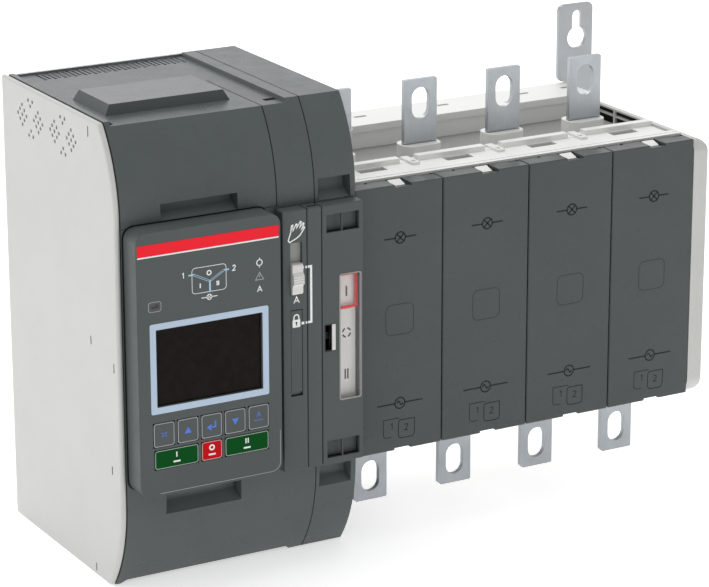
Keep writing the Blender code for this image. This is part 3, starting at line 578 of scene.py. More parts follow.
# A moulded look is a slot, then a name, colour, roughness, grain size and depth, drift and gloss.
DARK = (0.098, 0.112, 0.111)
MOULDED = {
    "dark": ("dark_plastic", "dark_plastic", DARK, 0.3, 0.9, 0.02, 0.05, 0.2),
    "dark_pole": ("dark_plastic", "dark_plastic_pole", (0.077, 0.089, 0.088), 0.3, 0.9, 0.02,
                  0.05, 0.2),
    "dark_smooth": ("dark_plastic", "dark_plastic_smooth", (0.089, 0.102, 0.101), 0.36, 0.6,
                    0.012, 0.03, 0.15),
    "shadow": ("dark_plastic", "deep_shadow", (0.012, 0.013, 0.013), 0.7, 0.6, 0.02, 0.05, 0.1),
    # pocket: grey painted shade for the floors of pockets and slots in the white units
    "pocket": ("white_plastic", "pocket_grey", (0.26, 0.265, 0.255), 0.6, 0.8, 0.02, 0.04, 0.2),
    # trench: grey painted shadow of the rear wall, laid on the trench floor
    "trench": ("white_plastic", "trench_grey", (0.30, 0.303, 0.294), 0.6, 0.8, 0.02, 0.05, 0.2),
    "window_rim": ("clear_window", "window_rim", (0.30, 0.31, 0.31), 0.3, 0.6, 0.01, 0.03, 0.3),
    "shuttle": ("white_plastic", "shuttle_plastic", (0.33, 0.33, 0.32), 0.5, 0.6, 0.02, 0.03,
                0.2),
    # painted shade standing in for engraved lines and grooves
    "dark_groove": ("dark_plastic", "dark_groove", (0.042, 0.048, 0.047), 0.6, 0.5, 0.01, 0.03,
                    0.1),
    "dark_line": ("dark_plastic", "dark_line", (0.022, 0.025, 0.024), 0.6, 0.5, 0.01, 0.03, 0.1),
    # recess: a lighter copy of the housing plastic, painted light inside finger recesses
    "recess": ("dark_plastic", "recess_plastic", (0.155, 0.175, 0.174), 0.5, 0.8, 0.02, 0.05,
               0.15),
    # land: a lighter copy of the housing plastic, painted light on the top of the raised box
    "land": ("dark_plastic", "label_land", (0.12, 0.136, 0.135), 0.26, 0.9, 0.01, 0.04, 0.28),
    "side": ("light_plastic", "light_plastic", (0.60, 0.60, 0.582), 0.45, 0.8, 0.03, 0.02, 0.3),
    "white": ("white_plastic", "white_plastic", (0.85, 0.85, 0.826), 0.42, 0.8, 0.03, 0.02, 0.3),
    "grey": ("grey_plastic", "grey_plastic", (0.57, 0.575, 0.55), 0.5, 0.9, 0.04, 0.04),
    "knob": ("white_plastic", "knob_plastic", (0.71, 0.70, 0.675), 0.45, 0.6, 0.02, 0.03),
    "scale": ("grey_plastic", "scale_plastic", (0.80, 0.775, 0.75), 0.5, 0.7, 0.03, 0.05),
    "red": ("red_plastic", "red_strip", (0.90, 0.02, 0.035), 0.4, 0.6, 0.02, 0.03, 0.08),
    "red_key": ("red_plastic", "red_key", (0.54, 0.004, 0.007), 0.42, 0.6, 0.02, 0.03, 0.06),
    "marker": ("red_plastic", "marker_red", (0.78, 0.012, 0.012), 0.42, 0.6, 0.02, 0.03, 0.1),
    "green": ("green_plastic", "green_key", (0.002, 0.075, 0.012), 0.42, 0.6, 0.02, 0.03, 0.04),
    "screen_frame": ("dark_plastic", "screen_frame", (0.47, 0.58, 0.72), 0.5, 0.6, 0.02, 0.02),
    "black": ("black_plastic", "black_plastic", (0.018, 0.018, 0.02), 0.5),
}
# Each look is a material and the record's material slot that it belongs to.
LOOKS = {
    "bar": (rolled_metal("tinned_copper", (0.47, 0.497, 0.525), 0.42, "Z"), "tinned_copper"),
    # Source bars: a darker copy of the tinned copper, painted shade.
    "bar_painted_shade": (rolled_metal("tinned_copper_painted_shade", (0.38, 0.402, 0.425), 0.42, "Z"),
                "tinned_copper"),
    "steel": (rolled_metal("zinc_steel", (0.45, 0.46, 0.47), 0.36, "Z", 0.03, 0.1), "steel"),
    # Mounting rail: a darker copy of the zinc steel, painted shade.
    "foot": (rolled_metal("zinc_steel_painted_shade", (0.375, 0.393, 0.405), 0.4, "Z", 0.03, 0.06),
             "steel"),
    "shaft": (rolled_metal("blued_steel", (0.05, 0.052, 0.055), 0.4, "Y", 0.02), "steel"),
    "gear_steel": (rolled_metal("turned_steel", (0.40, 0.41, 0.42), 0.32, "X", 0.02), "steel"),
    "display": (display_glass(), "display_glass"),
    "clear": (clear_plastic(), "clear_window"),
    "board": (solder_resist(), "circuit_board"),
    "rubber": (soft_rubber(), "rubber_mat"),
    "ink_dark": (painted_mark("dark_ink", (0.02, 0.02, 0.02)), "grey_plastic"),
}
for look_name, (slot_name, *values) in MOULDED.items():
    LOOKS[look_name] = (moulded(*values), slot_name)
INKS = {"white": (0.88, 0.89, 0.88), "pale": (0.40, 0.43, 0.43), "blue": (0.065, 0.19, 0.72),
        "sky": (0.42, 0.60, 0.80)}
for ink, ink_colour in INKS.items():
    LOOKS["ink_" + ink] = (painted_mark(ink + "_ink", ink_colour), "dark_plastic")


# ---- mechanism housing ----

FRONT_Y = -4.3
FLAT_TOP_Z = 240.8
FLAT_BOTTOM_Z = 59.2
CURVE_END_Y = 16.2
HOUSING_TOP = 300.0
HOUSING_BACK = 158.7
WALL = 2.5
STEP_X = -39.8
LOW_TOP_Z = 297.5
MAIN_SEAM_X = -31.15
COVER_SEAM_X = -57.65
SEAM_WIDTH = 0.6


def side_view(inset, back, drop=0.0, steps=24):
    """Side view of the housing in (Y, Z): curved at the front, straight at the back."""
    radius = ((CURVE_END_Y - FRONT_Y) ** 2 + (HOUSING_TOP - FLAT_TOP_Z) ** 2)
    radius = radius / (2 * (CURVE_END_Y - FRONT_Y))
    inner = radius - inset
    top = HOUSING_TOP - drop - inset
    bottom = drop + inset
    angle = math.degrees(math.asin((top - FLAT_TOP_Z) / inner))
    centre_y = FRONT_Y + radius
    upper = arc(centre_y, FLAT_TOP_Z, inner, 180 - angle, 180, steps)
    lower = arc(centre_y, FLAT_BOTTOM_Z, inner, 180, 180 + angle, steps)
    return [(back - inset, bottom), (back - inset, top)] + upper + lower


def side_panel_holes():
    """Centres (Y, Z) of the vents: diamonds of nine, with a chevron above and below each pair."""
    step = 3.25
    middle = 280.6
    holes = []
    for centre in (129.5, 104.9, 80.2, 55.5):
        for row in range(-2, 3):
            width = 2 - abs(row)
            for column in range(-width, width + 1, 2):
                holes.append((centre + row * step, middle + column * step * 0.98))
    for centre in (116.5, 67.8):
        for side in (-1, 1):
            holes.append((centre, middle + side * 8.1))
            holes.append((centre - step, middle + side * 11.35))
            holes.append((centre + step, middle + side * 11.35))
    return holes


SLOT_WIDTH = 1.3
SIDE_SLOTS = ((30.0, 288.3, 295.0), (33.9, 154.8, 160.3), (1.2, 145.3, 151.5),
              (7.4, 77.2, 82.8), (34.8, 3.4, 8.8))


def left_side_panel():
    """Pale side panel with vents and slots, with a sheet of painted shade behind them; a slot is
    (Y, lowest Z, highest Z).
    """
    (left, _, _), (right, back, _) = box_mm("left_side_panel")
    panel = slab([side_view(0.0, back)], "X", left, right)
    soften(panel, 2.4, 4, 25)
    work = bmesh.new()
    for y, z in side_panel_holes():
        add_rod(work, (left, y, z), 1.35, 12.0, "X", 14)
    cut(panel, from_work("tool", work))
    cut(panel, *[block((left - 1, y, low), (right + 1, y + SLOT_WIDTH, high))
                 for y, low, high in SIDE_SLOTS])
    finish_piece(panel, "left_side_panel_skin", "side", ["left_side_panel"], 28)
    # Painted shade: a dark sheet behind the vents, with blocks that fill the slots just below the
    # surface so they read as deep.
    side_shade_sheet = slab([side_view(3.0, back - 4)], "X", right - 0.45, right - 0.05)
    play = 0.02
    for y, low, high in SIDE_SLOTS:
        weld(side_shade_sheet, block((left + 0.25, y + play, low + play),
                            (right - 0.2, y + SLOT_WIDTH - play, high - play)))
    finish_piece(side_shade_sheet, "side_panel_painted_shade", "shadow")


def top_vents():
    """Staggered round vents in five rows across the back of the low top."""
    work = bmesh.new()
    for column in range(29):
        odd = column % 2
        x = -145.6 + 3.53 * column
        for row in range(5 - odd):
            y = 142.6 + 3.4 * (row + odd / 2)
            add_rod(work, (x, y, 297), 1.25, 8.0, "Z", 10)
    return from_work("tool", work)


def channel(start, end):
    """Outer wall of the housing, open at the back."""
    outer = side_view(0.0, HOUSING_BACK)
    inner = side_view(WALL, HOUSING_BACK + WALL)
    outline = outer[1:] + outer[:1] + inner[:1] + list(reversed(inner[1:]))
    return slab([outline], "X", start, end)


def main_housing():
    """The shell, with its top and bottom let down between the left rim and the step."""
    (left, _, _), (right, _, _) = box_mm("main_housing")
    shell = channel(left, right)
    plate_back = HOUSING_BACK - 0.1
    top_plate = block((left + 0.2, CURVE_END_Y, 294.9), (STEP_X, plate_back, 298.5))
    bottom_plate = block((left + 0.2, CURVE_END_Y, 1.5), (STEP_X, plate_back, 5.1))
    weld(shell, top_plate, bottom_plate)
    above = HOUSING_TOP + 2.0
    low_top = [(left + 3.4, above), (left + 3.4, HOUSING_TOP), (left + 7.0, LOW_TOP_Z),
               (STEP_X - 1.7, LOW_TOP_Z), (STEP_X - 0.9, HOUSING_TOP), (STEP_X - 0.9, above)]
    low_bottom = [(x, HOUSING_TOP - z) for x, z in low_top]
    cut(shell, slab([low_top], "Y", -20, 170), slab([low_bottom], "Y", -20, 170))
    cover_room = block((left - 1, -30, 237.5), (-57.5, 89, 310))
    panel_room = block((-150, -30, 90), (-78, 10, 225))
    selector_room = block((-55.2, -30, 180), (-44.8, 10, 220))
    clip_room = block((-54.2, -30, 115.3), (-45.8, 10, 172.2))
    cup_room = block((-137.3, -30, 49.2), (-84.7, 15.7, 69.8))
    cut(shell, cover_room, panel_room, selector_room, clip_room, cup_room)
    top_slot = block((-50.0, 23.8, 290.0), (-41.6, 28.6, 303.0))
    cut(shell, top_slot)
    cut(shell, top_vents())
    finish_piece(shell, "main_housing_skin", "dark", ["main_housing"], 25)
    # Painted shade: dark sheets just under the top vents and the top slot, so the holes read as
    # deep.
    shade_sheet = block((-160.5, 139.0, 296.3), (-42.0, 158.2, 296.8))
    finish_piece(shade_sheet, "vent_painted_shade", "shadow")
    slot_shade_sheet = block((-50.5, 23.2, 295.4), (-41.2, 29.0, 296.0))
    finish_piece(slot_shade_sheet, "top_slot_painted_shade", "shadow")
    finish_piece(seam_strip(MAIN_SEAM_X, 0.0), "housing_seam_line", "shadow")


def seam_strip(x, drop):
    """Dark filler in the joint between two housing pieces, a hair proud of the surface."""
    half = SEAM_WIDTH / 2
    back = HOUSING_BACK - 0.1
    ring = slab([side_view(-0.05, back, drop)], "X", x - half, x + half)
    cut(ring, slab([side_view(1.2, back, drop)], "X", x - SEAM_WIDTH, x + SEAM_WIDTH),
        block((x - SEAM_WIDTH, -20, -1), (x + SEAM_WIDTH, 170, 0.2)))
    return ring


def control_terminal_cover():
    """Clip-on cover; the flat top of its raised box is a piece of its own, in a lighter copy of
    the housing plastic that paints light onto that top.
    """
    cover = copy_of("control_terminal_cover")
    cut(cover, block((-160, 30, 303.85), (-60, 95, 310)))
    land = block((-149.0, 40.2, 303.0), (-71.2, 84.0, 304.0))
    finish_piece(land, "raised_top_land", "land")
    finish_piece(cover, "control_terminal_cover_skin", "dark", ["control_terminal_cover"], 25)
    scoop("upper_recess_scoop", (-137.3, -3.9, 238.2), (-84.5, 7.7, 250.1))
    seam = seam_strip(COVER_SEAM_X, HOUSING_TOP - LOW_TOP_Z)
    boolean(seam, [block((-60, -10, 237.7), (-55, 88.6, 310))], "INTERSECT")
    finish_piece(seam, "cover_seam_line", "shadow")


def scoop(name, low, high):
    """Sloping floor and back wall inside a finger recess, in a lighter copy of the housing
    plastic: painted light.
    """
    front = low[1]
    back = high[1]
    depth = back - front
    profile = [(front, low[2] - 0.4), (front, low[2] + 0.1),
               (front + depth * 0.7, low[2] + depth * 0.42),
               (back - 1.5, low[2] + depth * 0.62), (back - 1.5, high[2]), (back, high[2]),
               (back, low[2] - 0.4)]
    finish_piece(slab([profile], "X", low[0], high[0]), name, "recess", angle=60)


def other_housings():
    for node in ("right_housing", "lower_finger_cup"):
        skin(node, "dark", 25)
    scoop("lower_recess_scoop", (-137.3, -3.4, 49.3), (-84.7, 8.5, 69.8))
    scoop("upper_side_scoop", (-28.6, -3.0, 236.9), (-5.4, 7.1, 251.1))
    scoop("lower_side_scoop", (-28.6, -3.0, 46.8), (-5.4, 7.1, 60.6))


def back_plate():
    """Steel plate with two columns of rivet heads on its back."""
    plate = copy_of("back_plate")
    for x in (-150.0, -16.0):
        for z in (22.0, 150.0, 278.0):
            weld(plate, rod((x, 160.6, z), 4.2, 2.6, "Y", 28, 3.4))
    soften(plate, 0.35, 2, 40)
    finish_piece(plate, "back_plate_skin", "steel", ["back_plate"])


# ---- control panel ----

PANEL_FRONT = -22.0
PANEL_X = (-163.0, -64.5)
PANEL_Z = (69.5, 238.8)
WINDOW_X = (-154.8, -73.5)
WINDOW_Z = (123.0, 181.0)
SCREEN_X = (-150.7, -77.6)
SCREEN_Z = (127.2, 177.0)
RIM_LOW_Z = PANEL_Z[0] + 1.7
RED_STRIP_X = (-162.0, -65.9)


def panel_housing():
    """Face of the panel with its red strip, a painted shadow ring round it, a printed line and a
    painted edge highlight.
    """
    skin("panel_housing", "dark_smooth", 25)
    strip = block((RED_STRIP_X[0], PANEL_FRONT - 0.06, 224.3),
                  (RED_STRIP_X[1], PANEL_FRONT + 0.7, 231.3))
    soften(strip, 0.06, 1)
    finish_piece(strip, "panel_red_strip_skin", "red", ["panel_red_strip"])
    # Painted shadow: a thin dark ring round the panel, where it stands off the housing.
    shadow_ring = slab([framed(PANEL_X, PANEL_Z, 0.7, 7.6)], "Y", -4.58, -4.2)
    cut(shadow_ring, block((-155, -8, 80), (-72, 0, 230)))
    finish_piece(shadow_ring, "panel_painted_shadow_ring", "shadow")
    marks("panel_white_rule", "ink_white", PANEL_FRONT - 0.05,
          [([(x, 223.7) for x in RED_STRIP_X], 0.9, False)])
    # Painted highlight: a pale line along the lower and right edges of the panel face, where the
    # rounded edge catches the light.
    highlight_path = [(-150.0, RIM_LOW_Z), (-72.0, RIM_LOW_Z)]
    highlight_path += arc(-72.0, RIM_LOW_Z + 6.0, 6.0, -90, 0, 8)[1:] + [(-66.0, 98.0)]
    marks("panel_edge_painted_highlight", "ink_pale", PANEL_FRONT - 0.04, [(highlight_path, 0.28, False)])


def display():
    """Pale frame printed round the window, and the dark screen set back inside it."""
    outer = framed(WINDOW_X, WINDOW_Z, -0.05, 1.2)
    inner = framed(SCREEN_X, SCREEN_Z, 0.0, 0.5)
    surround = slab([outer, inner], "Y", PANEL_FRONT - 0.05, PANEL_FRONT + 1.0)
    finish_piece(surround, "display_surround", "screen_frame", ["display_window"])
    outer_wall = framed(SCREEN_X, SCREEN_Z, 0.1, 0.5)
    inner_wall = framed(SCREEN_X, SCREEN_Z, -0.35, 0.4)
    wall = slab([outer_wall, inner_wall], "Y", PANEL_FRONT + 0.25, PANEL_FRONT + 2.3)
    finish_piece(wall, "display_recess", "dark_smooth")
    screen = block((SCREEN_X[0] - 1.5, PANEL_FRONT + 2.0, SCREEN_Z[0] - 1.5),
                   (SCREEN_X[1] + 1.5, PANEL_FRONT + 2.5, SCREEN_Z[1] + 1.5))
    soften(screen, 0.1, 1)
    finish_piece(screen, "display_screen", "display")


def panel_symbols():
    """Mimic diagram, status lamps and a small port mark."""
    front = PANEL_FRONT - 0.05
    left = -125.6
    right = -102.4
    low = 196.0
    lamp_x = -79.4
    line_z = 208.2
    branch_z = 202.8
    middle = (left + right) / 2
    strokes = [(rounded(left, low, right, 212.2, 2.2), 0.34, True)]
    strokes += [(circle(middle, 208.0, 1.35, 20), 0.75, True)]
    strokes += glyph("I", -120.1, 200.6, 2.9, 1.0, 0.8)
    strokes += glyph("II", -108.1, 200.6, 2.9, 1.9, 0.75)
    strokes += glyph("1", -131.4, 208.6, 3.3, 2.0, 0.62)
    strokes += glyph("2", -96.9, 208.6, 3.3, 2.2, 0.62)
    strokes += load_symbol(middle, 192.6, 1.7, 0.5)
    strokes += [(circle(lamp_x, 209.2, 1.9, 16), 0.62, True)]
    strokes += [([(lamp_x, 206.1), (lamp_x, 207.3)], 0.6, False),
                ([(lamp_x, 211.1), (lamp_x, 212.3)], 0.6, False)]
    strokes += glyph("A", lamp_x, 192.3, 3.4, 3.2, 0.6)
    marks("panel_symbols_white", "ink_white", front, strokes)
    pale = [([(lamp_x - 2.8, 198.3), (lamp_x, 203.0), (lamp_x + 2.8, 198.3)], 0.42, True),
            ([(lamp_x, 199.8), (lamp_x, 201.4)], 0.4, False)]
    pale += [(rounded(-155.2, 188.8, -146.8, 195.0, 1.6), 0.32, True)]
    marks("panel_symbols_pale", "ink_pale", front, pale)
    port = [(-153.4, 190.8), (-148.4, 190.8), (-148.4, 192.8), (-149.6, 193.6), (-151.0, 192.6),
            (-153.4, 192.0)]
    marks("panel_port_mark", "ink_dark", front, fills=[port])
    fork = [([(left - 2.4, line_z), (left + 1.2, line_z)], 0.95, False),
            ([(right - 1.2, line_z), (right + 2.0, line_z)], 0.95, False),
            ([(middle + 0.5, low), (middle + 0.5, 203.2)], 1.15, False)]
    for shift in (-0.55, 0.55):
        upper = line_z + shift
        lower = branch_z + shift
        fork.append(([(left + 1.0, upper), (middle + 0.2, lower)], 0.3, False))
        fork.append(([(middle + 0.8, lower), (right - 1.2, upper)], 0.3, False))
    marks("panel_mimic_lines", "ink_sky", front - 0.02, fork)


CAP_SETBACK = 0.05
KEYS = {
    "key_escape": "dark_smooth", "key_up": "dark_smooth", "key_enter": "dark_smooth",
    "key_down": "dark_smooth", "key_auto": "dark_smooth", "key_source_one_on": "green",
    "key_off": "red_key", "key_source_two_on": "green",
}


def keys():
    """Each key's cap with a rounded outline, and its symbol; marks stay behind the CAD face."""
    for node, look in KEYS.items():
        low, high = box_mm(node)
        front = low[1] + CAP_SETBACK
        cap = slab([rounded(low[0], low[2], high[0], high[2], 1.6, 5)], "Y", front, high[1])
        soften(cap, 0.22, 2, 50)
        finish_piece(cap, node + "_cap", look, [node], body=node)
        edge = rounded(low[0] + 0.45, low[2] + 0.45, high[0] - 0.45, high[2] - 0.45, 1.3, 5)
        marks(node + "_outline", "ink_pale", front - 0.02, [(edge, 0.4, True)], depth=0.1,
              body=node)
        u = (low[0] + high[0]) / 2
        v = (low[2] + high[2]) / 2
        key_symbol(node, u, v, front - 0.03)


def key_symbol(node, u, v, front):
    strokes = []
    fills = []
    look = "ink_blue"
    if node == "key_escape":
        strokes = glyph("cross", u, v, 3.4, 3.4, 0.62)
    elif node == "key_up":
        fills = [[(u - 2.4, v - 1.9), (u + 2.4, v - 1.9), (u, v + 2.3)]]
    elif node == "key_down":
        fills = [[(u - 2.4, v + 1.9), (u, v - 2.3), (u + 2.4, v + 1.9)]]
    elif node == "key_enter":
        fills = [[(u - 3.4, v - 0.9), (u - 0.2, v - 3.2), (u - 0.2, v + 1.3)]]
        strokes = [([(u - 0.4, v - 0.95), (u + 2.6, v - 0.95), (u + 2.6, v + 3.0)], 1.05, False)]
    elif node == "key_auto":
        strokes = glyph("A", u, v + 1.8, 3.0, 2.8, 0.45)
        strokes += [([(u - 3.2, v - 2.0), (u + 3.2, v - 2.0)], 0.45, False)]
    else:
        look = "ink_white"
        name = {"key_source_one_on": "I", "key_source_two_on": "II"}.get(node)
        if name:
            strokes = glyph(name, u, v + 1.9, 3.3, 2.8, 0.8)
        else:
            strokes = [(circle(u, v + 1.9, 1.5), 0.95, True)]
        strokes += [([(u - 2.4, v - 2.6), (u + 2.4, v - 2.6)], 1.1, False)]
    marks(node + "_symbol", look, front, strokes, fills, body=node)


# ---- selector, filler and indicator modules ----

MODULE_FRONT = -15.0
SELECTOR_X = -50.0
LINK_TOP_Z = 199.0
LINK_LOW_Z = 162.8
SCALE_SIGN_X = -11.3


def modules():
    """The three strips, the dark backs of the indicator's grips, and the locking clip."""
    for node in ("selector_module", "filler_strip", "indicator_module"):
        skin(node, "dark_smooth", 25)
    for name, low in (("upper", 218.6), ("lower", 69.5)):
        back = block((-28.7, -10.4, low), (-5.1, -6.9, low + 11.9))
        finish_piece(back, name + "_grip_back", "dark_smooth")
    skin("lock_clip", "dark_smooth", edge=0.25, body="lock_clip")


def mode_selector():
    """Thumb slide: a ribbed ridge across the middle of a low knob, on its shuttle."""
    (left, _, _), (right, _, _) = box_mm("mode_selector")
    profile = [(-12.0, 182.2), (-15.6, 182.2), (-16.6, 182.8), (-17.0, 184.0), (-17.0, 187.4),
               (-17.6, 188.8)]
    for index in range(4):
        z = 189.4 + 1.5 * index
        profile += [(-19.0, z), (-19.0, z + 0.8), (-18.5, z + 1.1), (-18.5, z + 1.35)]
    profile += [(-18.2, 195.8), (-17.2, 196.6), (-17.2, 200.6), (-16.8, 201.8), (-15.6, 202.3),
                (-12.0, 202.3)]
    knob = slab([profile], "X", -53.8, -46.2)
    soften(knob, 0.5, 3, 40)
    finish_piece(knob, "mode_selector_knob", "knob", ["mode_selector"], body="mode_selector")
    shuttle = block((left, -12.4, 173.0), (right, -10.4, 217.5))
    finish_piece(shuttle, "mode_selector_shuttle", "shuttle", body="mode_selector")


def module_symbols():
    """Hand, letter A and padlock beside the selector, and the line that links them."""
    front = MODULE_FRONT - 0.04
    palm = [(-53.6, 216.9), (-54.4, 218.0), (-52.9, 222.4), (-52.3, 226.4), (-51.5, 226.6),
            (-51.5, 223.2), (-49.6, 226.9), (-48.9, 226.8), (-49.2, 224.6), (-47.0, 228.0),
            (-46.3, 227.8), (-47.4, 224.6), (-45.2, 227.0), (-44.7, 226.5), (-46.4, 223.4),
            (-44.8, 224.8), (-44.4, 224.2), (-47.2, 220.2), (-49.6, 218.6)]
    palm = [(SELECTOR_X + (x + 49.6) * 1.15, 222.6 + (z - 222.4) * 1.12) for x, z in palm]
    strokes = [(palm, 0.8, True)]
    strokes += glyph("A", SELECTOR_X, 178.6, 4.0, 3.8, 0.72)
    strokes += [([(-46.6, z), (-44.7, z)], 1.7, False) for z in (LINK_TOP_Z, LINK_LOW_Z)]
    shackle = [(-51.9, 165.6)] + arc(-50.1, 167.2, 1.7, 180, 0, 8) + [(-48.3, 165.6)]
    padlock = rounded(-52.8, 160.6, -47.4, 165.6, 0.4, 2)
    marks("selector_symbols", "ink_white", front, strokes)
    marks("lock_symbol", "ink_white", MODULE_FRONT + 0.16, [(shackle, 0.85, False)], [padlock],
          body="lock_clip")
    keyway = [(-50.4, 163.4), (-50.5, 161.8), (-49.7, 161.8), (-49.8, 163.4)]
    marks("lock_keyhole_mark", "ink_dark", MODULE_FRONT + 0.12,
          fills=[circle(-50.1, 163.6, 0.7, 12), keyway], body="lock_clip")
    bracket = [(-41.9, LINK_TOP_Z), (-39.6, LINK_TOP_Z), (-39.6, LINK_LOW_Z),
               (-41.9, LINK_LOW_Z)]
    dashes = [([(-43.6, z), (-42.5, z)], 1.5, False) for z in (LINK_TOP_Z, LINK_LOW_Z)]
    marks("lock_bracket_line", "ink_white", front, [(bracket, 1.5, False)] + dashes)


def indicator():
    """Position window: printed scale, clear pane with a rim, and the red marker frame."""
    scale = copy_of("indicator_scale")
    soften(scale, 0.15, 1)
    finish_piece(scale, "indicator_scale_plate", "scale", ["indicator_scale"])
    front = box_mm("indicator_scale")[0][1] - 0.05
    strokes = glyph("I", SCALE_SIGN_X, 176.9, 6.8, 2.4, 1.3)
    strokes += glyph("II", SCALE_SIGN_X, 121.9, 6.8, 3.4, 1.1)
    for start in (20, 110, 200, 290):
        strokes.append((arc(SCALE_SIGN_X, 149.4, 2.9, start, start + 60, 6), 1.1, False))
    marks("indicator_scale_symbols", "ink_dark", front, strokes)
    pane = copy_of("indicator_window")
    finish_piece(pane, "indicator_window_pane", "clear", ["indicator_window"])
    outer = rounded(-19.7, 107.1, -3.7, 190.7, 1.6)
    inner = rounded(-18.9, 107.9, -4.5, 189.9, 1.2)
    rim = slab([outer, inner], "Y", MODULE_FRONT - 0.25, MODULE_FRONT + 1.4)
    soften(rim, 0.15, 2, 40)
    finish_piece(rim, "indicator_window_rim", "window_rim")
    marker = copy_of("position_marker")
    soften(marker, 0.3, 2, 40)
    finish_piece(marker, "position_marker_frame", "marker", ["position_marker"],
                 body="position_marker")
    tab = slab([rounded(-24.9, 141.4, -22.3, 158.6, 0.4, 3)], "Y", MODULE_FRONT - 0.2, -12.5)
    soften(tab, 0.2, 2, 40)
    finish_piece(tab, "handle_socket_tab", "knob")
    well = slab([rounded(-30.4, 140.8, -22.2, 159.2, 0.6, 3),
                 rounded(-29.6, 141.6, -25.0, 158.4, 0.5, 3)], "Y", MODULE_FRONT + 0.2, -11.6)
    finish_piece(well, "handle_socket_liner", "black")


# ---- poles ----

POLE_SIGN_SIZE = 3.7
POLE_SIGN_STROKE = 0.95


def pole_covers():
    """Dark covers, each with its signs, the outline of a pad, and a notch in its top edge."""
    for index in range(POLES):
        node = "pole_cover_%d" % (index + 1)
        left = PITCH * index
        middle = left + 33.3
        cover = copy_of(node)
        strokes = load_symbol(middle, 203.0, POLE_SIGN_SIZE, POLE_SIGN_STROKE)
        strokes += source_symbol(middle, 91.6, POLE_SIGN_SIZE, POLE_SIGN_STROKE)
        strokes += shield(left + 27.0, 75.2, True) + shield(left + 38.2, 73.6, False)
        strokes += glyph("1", left + 27.4, 76.4, 4.2, 2.4, 0.6)
        strokes += glyph("2", left + 38.2, 74.4, 4.2, 2.8, 0.6)
        cut(cover, block((left + 12.3, 11.2, 234.0), (left + 15.7, 17.0, 240.0)))
        pad = rounded(left + 22.8, 138.3, left + 43.2, 158.6, 4.2)
        finish_piece(cover, node + "_skin", "dark_pole", [node], 25)
        # Dark strokes of painted shade stand in for the engraved signs and the grooved outline of
        # the pad.
        marks(node + "_symbols", "dark_line", -0.03, strokes, depth=0.1)
        marks(node + "_pad_line", "dark_groove", -0.02, [(pad, 0.5, True)], depth=0.1)
        notch = block((left + 12.0, 11.0, 235.8), (left + 16.0, 15.1, 236.4))
        finish_piece(notch, node + "_notch_shade", "shadow")


def shield(u, v, half):
    """Outline of a tab with rounded lower corners; half leaves out the hidden right side."""
    left = u - 6.0
    right = u + 6.0
    low = v - 6.2
    high = v + 6.2
    corner = 2.4
    if half:
        outline = [(right - 0.6, high - 0.4), (right - 0.6, high), (left, high)]
        outline += arc(left + corner, low + corner, corner, 180, 270, 5)
        return [(outline + [(u, low)], 0.5, False)]
    outline = [(left, high - 1.6), (left + 1.0, high), (right, high)]
    outline += arc(right - corner, low + corner, corner, 0, -90, 5)
    outline += arc(left + corner, low + corner, corner, 270, 180, 5)
    return [(outline, 0.6, True)]


def front_switch_unit():
    """White shelf: the rail breaks at each pole for a tab with a hole, beside a pocket."""
    front = copy_of("front_switch_housing")
    for index in range(POLES):
        left = PITCH * index
        rail_break = block((max(left - 3.0, 0.6), 49.0, 236.3), (left + 10.6, 57.0, 245))
        cut(front, rail_break)
        tab = block((left + 2.0, 42.0, 235.0), (left + 7.6, 59.0, 237.8))
        weld(front, tab)
        tab_hole = block((left + 3.4, 44.6, 236.5), (left + 6.4, 48.4, 245))
        cut(front, tab_hole)
        # Each pocket floor gets a grey sheet of painted shade.
        floor = block((left + 28.2, 41.2, 234.1), (left + 47.8, 48.8, 234.8))
        finish_piece(floor, "shelf_pocket_painted_shade_%d" % (index + 1), "pocket")
    rail_groove = block((0.9, 19.3, 238.0), (259.4, 20.3, 245))
    cut(front, rail_groove)
    soften(front, 0.35, 2, 40)
    finish_piece(front, "front_switch_housing_skin", "white", ["front_switch_housing"])


def rear_switch_unit():
    """White rear unit with grey painted shade on the floors of its slots and dark painted shade
    in its foot notch.
    """
    rear = copy_of("rear_switch_housing")
    for index in range(POLES):
        left = PITCH * index
        # Grey sheets of painted shade on the slot floors.
        slot = block((left + 16.1, 142.7, 239.8), (left + 25.2, 145.9, 241.6))
        finish_piece(slot, "rear_slot_painted_shade_%d" % (index + 1), "pocket")
    soften(rear, 0.4, 2, 40)
    finish_piece(rear, "rear_switch_housing_skin", "white", ["rear_switch_housing"])
    # Painted shade: a dark sheet in the notch beside the foot.
    notch = block((247.7, 142.9, 240.6), (253.9, 146.3, 241.6))
    finish_piece(notch, "foot_notch_painted_shade", "shadow")


def load_terminal_block():
    """White collars round the load bars, over a grey painted shadow on the floor of the trench.
    """
    (left, near, _), (right, _, _) = box_mm("load_terminal_block")
    # Painted shadow: a thin grey sheet over the trench floor.
    floor = block((left + 0.5, near + 0.5, 227.0), (right - 0.5, 123.9, 227.55))
    finish_piece(floor, "trench_floor_painted_shadow", "trench")
    collars = copy_of("load_terminal_block")
    soften(collars, 0.8, 3, 40)
    finish_piece(collars, "load_terminal_block_skin", "white", ["load_terminal_block"], 40)


def bars():
    for group in ("load_bar", "source_two_bar", "source_one_bar"):
        for index in range(POLES):
            # The source bars take the darker, painted-shade copy of the copper.
            look = "bar" if group == "load_bar" else "bar_painted_shade"
            skin("%s_%d" % (group, index + 1), look, edge=0.35)


